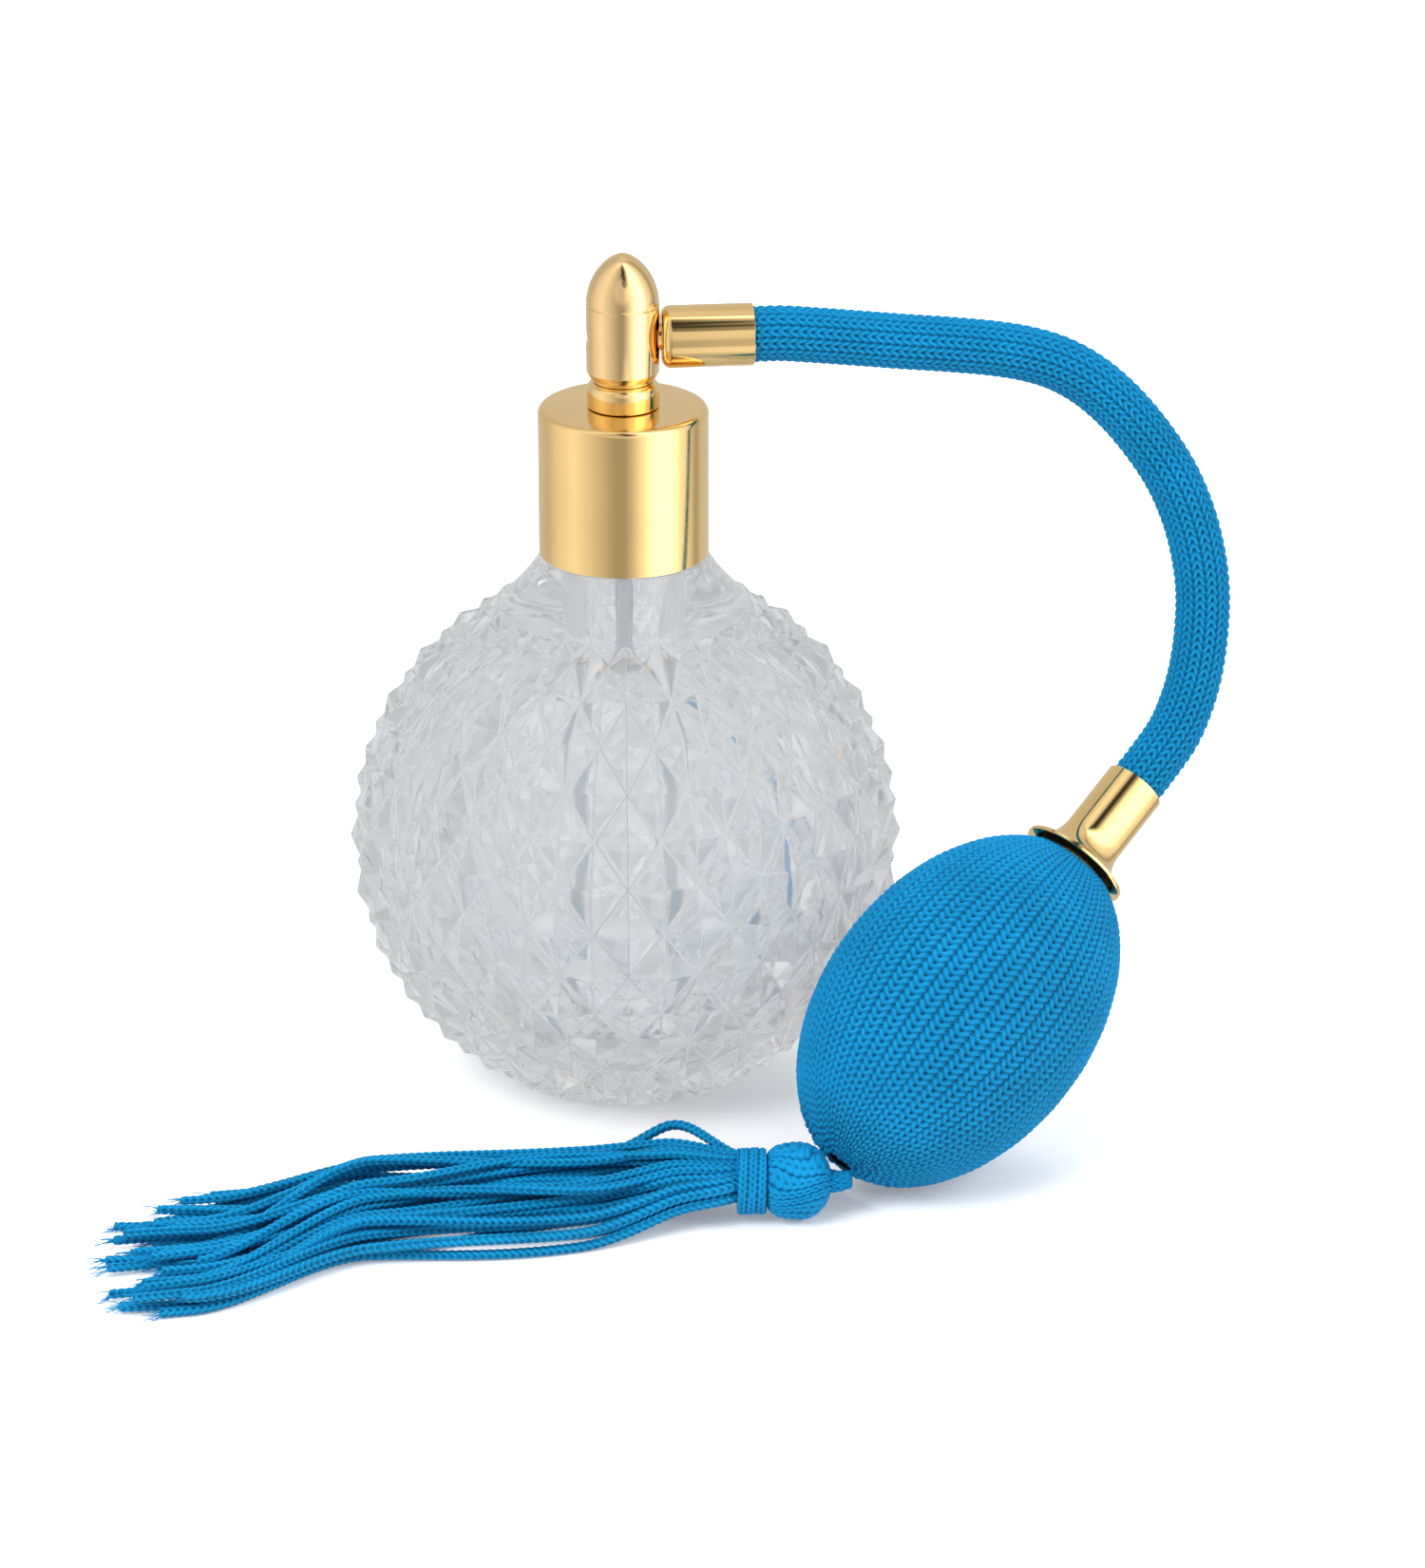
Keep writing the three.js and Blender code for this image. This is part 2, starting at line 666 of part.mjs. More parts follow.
// Its tail end is stepped, so that the valve's flange lies in it under the net
function rubberBulb() {
  const flangeSeat = tailFace + tailFlangeThickness + softGap;
  const flangeHole = tailFlangeRadius + softGap;
  const neck = bulbNeckReach - rubberEdge;
  return turnedRing([
    ...bulbArc(tailAt(rubberDepth, flangeHole), neck, rubberDepth, 10),
    [bulbRadiusAt(neck, rubberDepth) - rubberEdge, bulbNeckReach],
    [valveHole, bulbNeckReach],
    [valveHole, bulbNeckReach - rubberNeckLength],
    ...bulbArc(bulbNeckReach - rubberNeckShoulder, tailAt(rubberInside, tailValveHole), rubberInside, 8),
    [tailValveHole, flangeSeat],
    [flangeHole, flangeSeat],
  ], pieceSides);
}

function bulbFerrule() {
  const flare = flangeBottom + flangeThickness;
  const flareDepth = flangeRadius - flangeRim - ferruleRadius;
  const fillet = arc([0, 0], 1, 0, 90, 5).map(([across, up]) => [
    ferruleRadius + flareDepth * (1 - up),
    flare + flangeFlareLength * (1 - across),
  ]);
  return turnedRing([
    [ferruleBore, flangeBottom],
    [flangeRadius, flangeBottom],
    [flangeRadius, flare - flangeEdge],
    ...fillet,
    [ferruleRadius, bulbFerruleEnd],
    [ferruleBore, bulbFerruleEnd],
  ], pieceSides);
}

// A valve body: a hole and a seat at its tail end, and a chamber that its ball moves in
const outletValveBody = () => turnedRing([
  [valveHoleRadius, valveBottom],
  [valveRadius, valveBottom],
  [valveRadius, valveTop],
  [valveChamberRadius, valveTop],
  [valveChamberRadius, valveBottom + valveSeatThickness],
  [valveHoleRadius, valveBottom + valveSeatThickness],
], smallSides);

function bulbNipple() {
  const flangeFrom = valveTop + softGap;
  const flangeTo = flangeFrom + bulbNippleFlange;
  const barrel = nipple(flangeTo, bulbNippleTop);
  return turnedRing([
    [nippleBoreRadius, flangeFrom],
    [valveRadius, flangeFrom],
    [valveRadius, flangeTo],
    ...barrel.slice(0, -1),
  ], smallSides);
}

const tailFlangeTop = tailFace + tailFlangeThickness;
const tailSeat = tailFlangeTop + valveSeatThickness;
const tailValveTop = tailFlangeTop + tailValveLength;
const retainerSeat = tailValveTop - retainerThickness - softGap;

const inletValveBody = () => turnedRing([
  [valveHoleRadius, tailFace],
  [tailFlangeRadius, tailFace],
  [tailFlangeRadius, tailFlangeTop],
  [tailValveRadius, tailFlangeTop],
  [tailValveRadius, tailValveTop],
  [retainerRadius + fitGap, tailValveTop],
  [retainerRadius + fitGap, retainerSeat],
  [valveChamberRadius, retainerSeat],
  [valveChamberRadius, tailSeat],
  [valveHoleRadius, tailSeat],
], smallSides);

const inletRetainer = () => turnedRing([
  [retainerRadius, retainerSeat + fitGap],
  [retainerRadius, retainerSeat + fitGap + retainerThickness],
  [retainerHoleRadius, retainerSeat + fitGap + retainerThickness],
  [retainerHoleRadius, retainerSeat + fitGap],
], smallSides);

// The ball rests just above its seat and lets air pass towards the hose only
function valveBall(seat) {
  const rest = Math.sqrt((valveBallRadius + fitGap) ** 2 - valveHoleRadius ** 2);
  return new THREE.SphereGeometry(valveBallRadius, 16, 10).translate(0, 0, seat + rest);
}

add('rubber_bulb', rubberBulb(), blackRubber, bulb);
add('bulb_net', bulbNet(), knit, bulb);
add('bulb_ferrule', bulbFerrule(), gold, bulb);
add('outlet_valve_body', outletValveBody(), plastic, bulb);
add('outlet_valve_ball', valveBall(valveBottom + valveSeatThickness), steel, bulb);
add('bulb_nipple', bulbNipple(), plastic, bulb);
add('inlet_valve_body', inletValveBody(), blackRubber, bulb);
add('inlet_valve_ball', valveBall(tailSeat), steel, bulb);
add('inlet_valve_retainer', inletRetainer(), steel, bulb);

// Hose: straight out of the spray head's ferrule, over in an arch and down into the bulb's ferrule.
// The free stretch follows points chosen by hand along the photographed hose.
const freeHose = [
  [26.2, 0.2, 110.7],
  [33, 0.5, 109.9],
  [39.8, 0.7, 109.1],
  [46.6, 0.8, 108.4],
  [53, 0.8, 107.6],
  [57.6, 0.7, 106.7],
  [61.8, 0.6, 105.3],
  [65.8, 0.3, 103.1],
  [69.8, 0, 99.8],
  [74, -0.7, 95.1],
  [78.2, -1.8, 88.9],
  [80.7, -2.9, 83.2],
  [82.1, -4.2, 77.8],
  [82.7, -5.6, 72.6],
  [82.4, -7.4, 67.4],
  [81.3, -9.9, 61.9],
  [79.7, -12.3, 57.9],
  [77.5, -14.9, 54.4],
];

function hoseCurve() {
  const start = ferruleStart + ferruleEndWall + hoseInset;
  const out = [start, (ferruleStart + ferruleEnd) / 2, ferruleEnd, ferruleEnd + hoseRadius];
  const back = [bulbFerruleEnd + hoseRadius, bulbFerruleEnd, (hoseEnd + bulbFerruleEnd) / 2, hoseEnd];
  return new THREE.CatmullRomCurve3([
    ...out.map((x) => new THREE.Vector3(x, 0, hoseAxis)),
    ...freeHose.map((point) => new THREE.Vector3(...point)),
    ...back.map((along) => bulbCentre.clone().addScaledVector(bulbAxis, along)),
  ]);
}

function hoseLayer(outer, inner) {
  const ring = (radius) => Array.from({ length: hoseSides }, (_, i) => {
    const angle = i * Math.PI * 2 / hoseSides;
    return new THREE.Vector2(radius * Math.cos(angle), radius * Math.sin(angle));
  });
  const section = new THREE.Shape(ring(outer));
  section.holes.push(new THREE.Path(ring(inner)));
  const settings = { steps: hoseSteps, extrudePath: hoseCurve(), bevelEnabled: false };
  return new THREE.ExtrudeGeometry(section, settings);
}

add('hose_tube', hoseLayer(hoseTubeRadius, hoseBoreRadius), blackRubber);
add('hose_sleeve', hoseLayer(hoseRadius, hoseRadius - sleeveThickness), knit);

// Tassel group: its own +X runs along the tassel, away from the knot, and its Z is the height
const tassel = new THREE.Group();
tassel.position.set(knot.x, knot.y, 0);
tassel.rotation.z = degrees(tasselHeading);
model.add(tassel);

const ballHeight = tasselBallRadius + groundGap;
const ballStart = tasselBallDistance - tasselBallHalfLength;
const ballEnd = tasselBallDistance + tasselBallHalfLength - tasselBallCut;
const bandStart = ballEnd + softGap;
const bandEnd = bandStart + bandLength;
const bandBore = bandRadius - bandThickness;
const rootRadius = bandBore - fitGap;
const rootEnd = bandEnd + softGap;

// A flat band, from the net under the tail to the rounded end of the tassel
function tasselStrap() {
  const [halfWidth, halfThickness] = [strapWidth / 2, strapThickness / 2];
  const sides = 8;
  const section = new THREE.Shape(Array.from({ length: sides }, (_, i) => {
    const angle = (i + 0.5) * Math.PI * 2 / sides;
    return new THREE.Vector2(Math.cos(angle) * halfWidth, Math.sin(angle) * halfThickness);
  }));
  const rise = ballHeight - knot.z;
  const route = new THREE.CatmullRomCurve3([
    new THREE.Vector3(0, 0, knot.z),
    new THREE.Vector3(ballStart * 0.4, 0, knot.z + rise * 0.2),
    new THREE.Vector3(ballStart * 0.7, 0, knot.z + rise * 0.5),
    new THREE.Vector3(ballStart - softGap, 0, knot.z + rise * 0.8),
  ]);
  return new THREE.ExtrudeGeometry(section, { steps: 6, extrudePath: route, bevelEnabled: false });
}

function tasselBall() {
  const along = (share) => tasselBallHalfLength * share;
  const end = ballEnd - tasselBallDistance;
  const steps = 9;
  const profile = Array.from({ length: steps + 1 }, (_, i) => {
    const from = -Math.PI / 2;
    const to = Math.asin(end / tasselBallHalfLength);
    const angle = from + (to - from) * i / steps;
    return [tasselBallRadius * Math.cos(angle), along(Math.sin(angle))];
  });
  return alongX(turned([...profile, [0, end]], smallSides)).translate(tasselBallDistance, 0, ballHeight);
}

const tasselBand = () => alongX(turnedRing([
  [bandRadius, bandStart],
  [bandRadius, bandEnd],
  [bandBore, bandEnd],
  [bandBore, bandStart],
], smallSides)).translate(0, 0, ballHeight);

// A number from 0 to 1 that differs from strand to strand and stays the same each time
const scatter = (index, salt) => {
  const value = Math.sin(index * 12.9898 + salt * 78.233) * 43758.5453;
  return value - Math.floor(value);
};

const ease = (value) => {
  const share = Math.min(Math.max(value, 0), 1);
  return share * share * (3 - 2 * share);
};

// Centre of a strand at a distance past the band: bundled there, then spread, then settled
function strandPoint(strand, past) {
  const { index, column, level, inColumn, total } = strand;
  const columns = strandColumns.length;
  const side = (column + 0.5) / columns * 2 - 1;
  const rank = (index + 0.5) / total * 2 - 1;
  const spread = skirtHalfWidth * (1 - (1 - waistShare) * Math.exp(-past / fanLength));
  const settle = ease((past - settleStart) / settleLength);
  const phase = past / waveLength + scatter(index, 1) * Math.PI * 2;
  const wave = waveHeight * Math.sin(phase) * ease(past / waveFadeIn);
  const loop = index === loopStrand ? loopBulge * Math.exp(-(((past - loopPlace) / loopLength) ** 2)) : 0;
  const middle = skirtShift * ease(past / shiftLength) + skirtLean * past + skirtEndDrift * settle;
  const place = side * spread * (1 - settle) + rank * (spread + skirtEndSpread) * settle;
  const y = middle + place + wave + loop;
  const low = strandRadius + groundGap;
  const bundled = ballHeight + (level - (inColumn - 1) / 2) * strandPitch;
  const stacked = low + level * layPitch;
  const flat = low + (level % 2) * endPitch;
  const { lerp } = THREE.MathUtils;
  const z = lerp(lerp(bundled, stacked, ease(past / lieLength)), flat, settle);
  return [y, z];
}

// Four-sided strands, fused to the slice of cords that the band holds together
function tasselSkirt() {
  const total = strandColumns.reduce((sum, count) => sum + count, 0);
  const strands = [];
  strandColumns.forEach((inColumn, column) => {
    for (let level = 0; level < inColumn; level++) {
      strands.push({ index: strands.length, column, level, inColumn, total });
    }
  });
  const rootRod = rod(rootRadius, bandStart + softGap, rootEnd + rootOverlap, smallSides);
  const root = alongX(rootRod).translate(0, 0, ballHeight);
  const tubes = strands.map((strand) => {
    const length = strandLength + strandRaggedness * scatter(strand.index, 2);
    const sections = Array.from({ length: strandSteps + 1 }, (_, i) => {
      const past = length * (i / strandSteps) ** strandStepGrowth;
      const [y, z] = strandPoint(strand, past);
      return [45, 135, 225, 315].map((turn) => [
        rootEnd + past,
        y + strandRadius * Math.cos(degrees(turn)),
        z + strandRadius * Math.sin(degrees(turn)),
      ]);
    });
    return skin(sections);
  });
  return joined(root, ...tubes);
}

add('tassel_strap', tasselStrap(), knit, tassel);
add('tassel_ball', tasselBall(), knit, tassel);
add('tassel_band', tasselBand(), knit, tassel);
add('tassel_skirt', tasselSkirt(), knit, tassel);

export default model;
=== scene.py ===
import json
import math

import bmesh
import bpy
import numpy as np
from mathutils import Euler, Matrix, Vector


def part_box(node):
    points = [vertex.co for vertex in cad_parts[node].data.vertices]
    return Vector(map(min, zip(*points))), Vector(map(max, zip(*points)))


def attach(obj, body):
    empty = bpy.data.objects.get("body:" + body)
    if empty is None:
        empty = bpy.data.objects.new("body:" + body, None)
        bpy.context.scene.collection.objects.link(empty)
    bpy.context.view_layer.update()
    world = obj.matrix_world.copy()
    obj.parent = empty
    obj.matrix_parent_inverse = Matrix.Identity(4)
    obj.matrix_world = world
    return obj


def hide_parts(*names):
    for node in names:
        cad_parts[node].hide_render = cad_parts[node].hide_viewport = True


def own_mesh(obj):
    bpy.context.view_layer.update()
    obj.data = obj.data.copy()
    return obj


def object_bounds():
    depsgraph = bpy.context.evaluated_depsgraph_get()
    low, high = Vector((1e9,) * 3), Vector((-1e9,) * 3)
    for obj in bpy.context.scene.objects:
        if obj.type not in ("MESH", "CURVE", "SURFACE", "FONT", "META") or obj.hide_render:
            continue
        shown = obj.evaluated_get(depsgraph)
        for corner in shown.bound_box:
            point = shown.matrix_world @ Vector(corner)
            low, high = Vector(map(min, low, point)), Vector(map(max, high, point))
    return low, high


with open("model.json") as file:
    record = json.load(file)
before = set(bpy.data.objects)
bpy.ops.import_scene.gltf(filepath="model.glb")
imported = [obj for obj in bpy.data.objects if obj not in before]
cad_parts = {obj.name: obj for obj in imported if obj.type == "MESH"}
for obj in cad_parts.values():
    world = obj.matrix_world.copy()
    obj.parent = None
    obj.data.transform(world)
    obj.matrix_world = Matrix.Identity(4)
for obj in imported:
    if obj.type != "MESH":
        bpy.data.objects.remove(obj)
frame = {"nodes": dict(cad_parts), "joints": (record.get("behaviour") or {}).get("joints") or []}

cad_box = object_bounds()
MM = 0.001

# Places and sizes, from the frame
joints = {joint["name"]: joint for joint in frame["joints"]}


def span(node, axis):
    """Lowest and highest coordinate of a CAD node along an axis, in mm."""
    low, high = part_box(node)
    return low[axis] / MM, high[axis] / MM


def half_height(node):
    low, high = span(node, 2)
    return (high - low) / 2


def turned_radius(node):
    """Outer radius of a CAD node that is turned round the bottle's axis, in mm."""
    return max(abs(value) for axis in (0, 1) for value in span(node, axis))


cap_bottom, cap_top = span("cap_shell", 2)
cap_radius = turned_radius("cap_shell")
rim = span("glass_bottle", 2)[1]
insert_bottom, insert_top = span("cap_thread_insert", 2)
insert_radius = turned_radius("cap_thread_insert")
collar_bottom, collar_top = span("stem_collar", 2)
collar_radius = turned_radius("stem_collar")
head_bottom, head_top = span("spray_head", 2)
head_radius = turned_radius("spray_head")
hose_axis_height = sum(span("hose_ferrule", 2)) / 2
ferrule_start, ferrule_end = span("hose_ferrule", 0)
ferrule_radius = half_height("hose_ferrule")
nozzle_outer, nozzle_inner = (-place for place in span("nozzle_insert", 0))
nozzle_radius = half_height("nozzle_insert")
bulb_axis = Vector(joints["outlet_valve"]["axis"]).normalized()
knot = Vector(joints["tassel_swing"]["pos_m"]) / MM

# Sizes that the frame's boxes don't give, as in the CAD model, in mm and degrees
sphere_radius = 40
foot_radius = 17.45
pyramid_height = 2
pyramid_columns = 24
pyramid_rows = 12
pyramid_turn = -94.3
foot_band = 2.55
lattice_top_radius = 20
glass_wall = 10.5
shoulder_flare = 1.4
neck_bore = 6.5
neck_radius = 8.7
thread_depth = 0.65
thread_pitch = 3
thread_turns = 1.4
thread_start = 3
thread_width = 1.6
stem_hole = 3.1
groove_radius = 4.3
hose_radius = 4
tube_radii = 2.95, 2.3
bulb_tail = Vector((24.85, -53.79, 6.79))
bulb_half_length = 28.6
bulb_centre = bulb_tail + bulb_axis * bulb_half_length
bulb_radius = 19.35
bulb_neck_trim = 1.7  # from the net's end at the neck to where its egg shape would close
bulb_neck_reach = bulb_half_length - bulb_neck_trim
tail_hole = 2
bulb_tail_reach = bulb_half_length * math.sqrt(1 - (tail_hole / bulb_radius) ** 2)
bulb_ferrule_start = bulb_neck_reach + 0.3
bulb_ferrule_length = 15.1
tassel_heading = 175


# Meshes

turned_crease = 35  # edges of turned pieces that are sharper than this stay sharp


def make_object(name, points, faces, material, crease=None):
    """A mesh object from points in mm; edges sharper than crease degrees stay sharp."""
    mesh = bpy.data.meshes.new(name)
    mesh.from_pydata((np.asarray(points, float) * MM).tolist(), [], faces)
    mesh.validate()
    mesh.shade_smooth()
    if crease is not None:
        mesh.set_sharp_from_angle(angle=math.radians(crease))
    mesh.materials.append(material)
    return add_object(name, mesh)


def add_object(name, data, place=(0, 0, 0)):
    made = bpy.data.objects.new(name, data)
    made.location = place
    bpy.context.scene.collection.objects.link(made)
    return made


def grid_faces(rows, columns, start=0):
    """Quads of a grid of points whose last column joins its first."""
    faces = []
    for row in range(rows - 1):
        low, high = start + row * columns, start + (row + 1) * columns
        for i in range(columns):
            j = (i + 1) % columns
            faces.append((low + i, low + j, high + j, high + i))
    return faces


def end_caps(rows, columns, start=0):
    """The two faces that close a grid of points at its first and last row."""
    last = start + (rows - 1) * columns
    return [tuple(range(start + columns - 1, start - 1, -1)), tuple(range(last, last + columns))]


def line_lengths(points):
    """How far along a line each of its points is."""
    steps = np.linalg.norm(np.diff(points, axis=0), axis=1)
    return np.concatenate([[0], np.cumsum(steps)])


def even_points(points, count):
    """A number of evenly spaced points along a line, and how far along it each of them is."""
    length = line_lengths(points)
    station = np.linspace(0, length[-1], count)
    return np.stack([np.interp(station, length, points[:, k]) for k in range(3)], 1), station


def carried(points, place):
    """Points moved and turned with a place's matrix."""
    return points @ np.array(place.to_3x3()).T + np.array(place.translation)


def add_yarn_values(piece, depth, fibre):
    """How high the yarn stands, for the painted shade in its gaps, and the way along it, for its relief."""
    for label, values in (("depth", depth), ("fibre", fibre)):
        data = piece.data.attributes.new(label, "FLOAT", "POINT")
        data.data.foreach_set("value", np.asarray(values, np.float32).ravel())


def curve_point(start, bend, end, share):
    """A point of a curve that leaves start and reaches end in the direction of bend."""
    return (1 - share) ** 2 * start + 2 * share * (1 - share) * bend + share ** 2 * end


def soften(profile, radius, steps=3):
    """Rounds each corner of a closed line of [radius, height] points with a small arc."""
    points = [np.array(point, float) for point in profile]
    made = []
    for i, point in enumerate(points):
        into = points[i - 1] - point
        out = points[(i + 1) % len(points)] - point
        reach = min(radius, 0.45 * np.linalg.norm(into), 0.45 * np.linalg.norm(out))
        start = point + into / np.linalg.norm(into) * reach
        end = point + out / np.linalg.norm(out) * reach
        made += [curve_point(start, point, end, share) for share in np.linspace(0, 1, steps + 1)]
    return made


def around(count):
    """That many even angles round a circle."""
    return np.arange(count) * math.tau / count


def round_point(radius, angle, height):
    return radius * math.cos(angle), radius * math.sin(angle), height


def lathe(name, profile, material, sides=96, place=None):
    """A closed piece turned round Z from [radius, height] points in mm, then set in its place."""
    points, rows = [], []
    for radius, height in profile:
        if radius < 1e-6:
            rows.append([len(points)] * sides)
            points.append((0, 0, height))
        else:
            rows.append(list(range(len(points), len(points) + sides)))
            points += [round_point(radius, angle, height) for angle in around(sides)]
    faces = []
    for low, high in zip(rows, rows[1:] + rows[:1]):
        for i in range(sides):
            j = (i + 1) % sides
            face = [low[i], low[j], high[j], high[i]]
            face = [v for k, v in enumerate(face) if v != face[k - 1]]
            if len(face) > 2:
                faces.append(face)
    if place is not None:
        points = [tuple(place @ Vector(point)) for point in points]
    return make_outward(make_object(name, points, faces, material, turned_crease))


def make_outward(piece):
    """Turns a closed piece's faces to point out."""
    shape = bmesh.new()
    shape.from_mesh(piece.data)
    bmesh.ops.recalc_face_normals(shape, faces=shape.faces)
    shape.to_mesh(piece.data)
    shape.free()
    return piece


def stand_for(piece, body, node):
    """The piece takes the place of a CAD node, on its body."""
    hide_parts(node)
    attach(piece, body)
    return piece


def place_along(direction, origin):
    """Puts what is made along +Z along a direction instead, from an origin in mm."""
    turn = Vector((0, 0, 1)).rotation_difference(Vector(direction)).to_matrix().to_4x4()
    return Matrix.Translation(Vector(origin)) @ turn


head_side = place_along((1, 0, 0), (0, 0, hose_axis_height))
nozzle_side = place_along((-1, 0, 0), (0, 0, hose_axis_height))
bulb_place = place_along(bulb_axis, bulb_centre)


def arc(centre, size, first, last, steps):
    """Points of an arc round [radius, height], from one angle to another in degrees."""
    turns = np.radians(np.linspace(first, last, steps + 1))
    return [(centre[0] + size * math.cos(a), centre[1] + size * math.sin(a)) for a in turns]


# Materials

def linear(red, green, blue):
    """A colour as it is read off a screen, 0 to 255, as a linear colour."""
    shares = [value / 255 for value in (red, green, blue)]
    return tuple(c / 12.92 if c <= 0.04045 else ((c + 0.055) / 1.055) ** 2.4 for c in shares) + (1.0,)


def dimmed(colour, share):
    """The same colour with that share of its light."""
    return tuple(share * c for c in colour[:3]) + (1.0,)


class Nodes:
    """Short calls for the nodes of a material or of the world."""

    def __init__(self, tree):
        self.tree = tree
        self.coordinates = tree.nodes.new("ShaderNodeTexCoord").outputs

    def feed(self, sockets, *sources):
        """Each socket gets its source: another node's output, a number or a colour."""
        for socket, source in zip(sockets, sources):
            if isinstance(source, bpy.types.NodeSocket):
                self.tree.links.new(source, socket)
            else:
                socket.default_value = source

    def new(self, kind, settings=None, **inputs):
        made = self.tree.nodes.new("ShaderNode" + kind)
        for key, value in (settings or {}).items():
            setattr(made, key, value)
        self.set_inputs(made, inputs)
        return made

    def set_inputs(self, node, inputs):
        """Feeds a node's inputs by their names, with _ for each space."""
        for key, source in inputs.items():
            self.feed([node.inputs[key.replace("_", " ")]], source)

    def node(self, kind, settings=None, **inputs):
        return self.new(kind, settings, **inputs).outputs[0]

    def math(self, operation, first, second=0.0, clamp=False):
        made = self.new("Math", {"operation": operation, "use_clamp": clamp})
        self.feed(made.inputs, first, second)
        return made.outputs[0]

    def mix(self, share, first, second):
        """A number between two others: the first at share 0, the second at 1."""
        return self.math("ADD", first, self.math("MULTIPLY", share, self.math("SUBTRACT", second, first)))

    def between(self, value, low, high, from_low=0.0, from_high=1.0):
        return self.node(
            "MapRange", Value=value, From_Min=from_low, From_Max=from_high, To_Min=low, To_Max=high
        )


class Finish(Nodes):
    """A material with one Principled shader."""

    def __init__(self, name, **settings):
        self.material = bpy.data.materials.new(name)
        self.material.use_nodes = True
        super().__init__(self.material.node_tree)
        self.place = self.coordinates["Object"]
        self.shader = self.tree.nodes["Principled BSDF"]
        self.set(**settings)

    def stretched(self, scale):
        return self.node("Mapping", Vector=self.place, Scale=scale)

    def noise(self, scale, detail=3.0, roughness=0.5, vector=None):
        vector = vector or self.place
        return self.node("TexNoise", Vector=vector, Scale=scale, Detail=detail, Roughness=roughness)

    def attribute(self, name):
        return self.new("Attribute", {"attribute_name": name}).outputs["Fac"]

    def blend(self, share, first, second, mode="MIX"):
        made = self.new("Mix", {"data_type": "RGBA", "blend_type": mode}, Factor=share)
        colours, colour_result = made.inputs[6:8], made.outputs[2]
        self.feed(colours, first, second)
        return colour_result

    def bump(self, height, strength, distance, **normal):
        return self.node("Bump", Strength=strength, Distance=distance, Height=height, **normal)

    def set(self, **inputs):
        self.set_inputs(self.shader, inputs)
        return self.material


def glass_finish():
    """Pressed glass: many small faces make it milky, and its surface is slightly wavy."""
    # a faint glow stands for the light that its many faces scatter
    look = Finish(
        "cut_glass", Transmission_Weight=0.92, IOR=1.42, Specular_IOR_Level=0.4,
        Emission_Color=linear(243, 244, 246), Emission_Strength=0.055
    )
    waves = look.noise(140, 2.0)
    grain = look.noise(900, 4.0)
    normal = look.bump(waves, 0.15, 0.0006)
    milky = look.between(waves, 0.0, 1.0, 0.35, 0.65)
    return look.set(
        Base_Color=look.blend(milky, linear(251, 252, 253), linear(246, 248, 250)),
        Roughness=look.between(grain, 0.01, 0.03, 0.35, 0.75),
        Normal=look.bump(grain, 0.05, 0.00005, Normal=normal),
    )


def gold_finish(name, colour, low, high, grain_scale):
    """Gold plate: a smooth metal with fine rubbing marks and slow changes in its shine."""
    look = Finish(name, Metallic=1.0)
    cloud = look.noise(90, 3.0)
    marks = look.noise(60, 6.0, 0.7, look.stretched((1.0, 1.0, grain_scale)))
    worn = look.between(cloud, 0.0, 1.0, 0.3, 0.7)
    return look.set(
        Base_Color=look.blend(worn, colour, dimmed(colour, 0.93)),
        Roughness=look.between(marks, low, high, 0.3, 0.7),
        Normal=look.bump(marks, 0.04, 0.00003),
    )


def yarn_finish(name, crest, gap_shade):
    """Knitted or twisted yarn: lighter crests, a painted shade in the gaps, fine fibres and a soft sheen.
    """
    look = Finish(
        name, Sheen_Weight=0.12, Sheen_Roughness=0.5, Sheen_Tint=linear(90, 190, 240),
        Specular_IOR_Level=0.2
    )
    depth = look.attribute("depth")
    strand = look.math("SINE", look.math("MULTIPLY", look.attribute("fibre"), math.tau))
    fuzz = look.noise(2600, 4.0, 0.7)
    patches = look.noise(120, 2.0)
    # painted shade: where the yarn stands low, its colour goes towards the dark gap colour
    lit = look.between(depth, 0.05, 1.0, 0.0, 0.85)
    uneven = look.math("ADD", lit, look.between(fuzz, -0.14, 0.14), clamp=True)
    body = look.blend(uneven, gap_shade, crest)
    tone = look.between(patches, 0.9, 1.07, 0.3, 0.7)
    toned = look.blend(1.0, body, look.node("CombineColor", Red=tone, Green=tone, Blue=tone), "MULTIPLY")
    relief = look.math("ADD", look.math("MULTIPLY", strand, 0.5), look.math("MULTIPLY", fuzz, 1.2))
    return look.set(
        Base_Color=toned,
        Roughness=look.between(fuzz, 0.6, 0.95),
        Normal=look.bump(relief, 0.55, 0.00009),
    )


def plastic_finish(name, colour, roughness, transmission=0.0):
    """Moulded plastic: nearly even, with a faint grain and slow changes in its gloss."""
    look = Finish(name, Transmission_Weight=transmission, IOR=1.46)
    cloud = look.noise(180, 3.0)
    grain = look.noise(3000, 3.0)
    shade = look.between(cloud, 0.0, 1.0, 0.3, 0.7)
    return look.set(
        Base_Color=look.blend(shade, colour, dimmed(colour, 0.9)),
        Roughness=look.between(cloud, roughness - 0.06, roughness + 0.08, 0.3, 0.7),
        Normal=look.bump(grain, 0.08, 0.00003),
    )


def rubber_finish():
    """Black moulded rubber with a fine grain and a dusty bloom."""
    look = Finish("black_rubber")
    bloom = look.noise(150, 4.0)
    grain = look.noise(2200, 4.0)
    dusty = look.between(bloom, 0.0, 1.0, 0.4, 0.7)
    return look.set(
        Base_Color=look.blend(dusty, linear(24, 24, 26), linear(46, 46, 49)),
        Roughness=look.between(bloom, 0.55, 0.8),
        Normal=look.bump(grain, 0.2, 0.00005),
    )


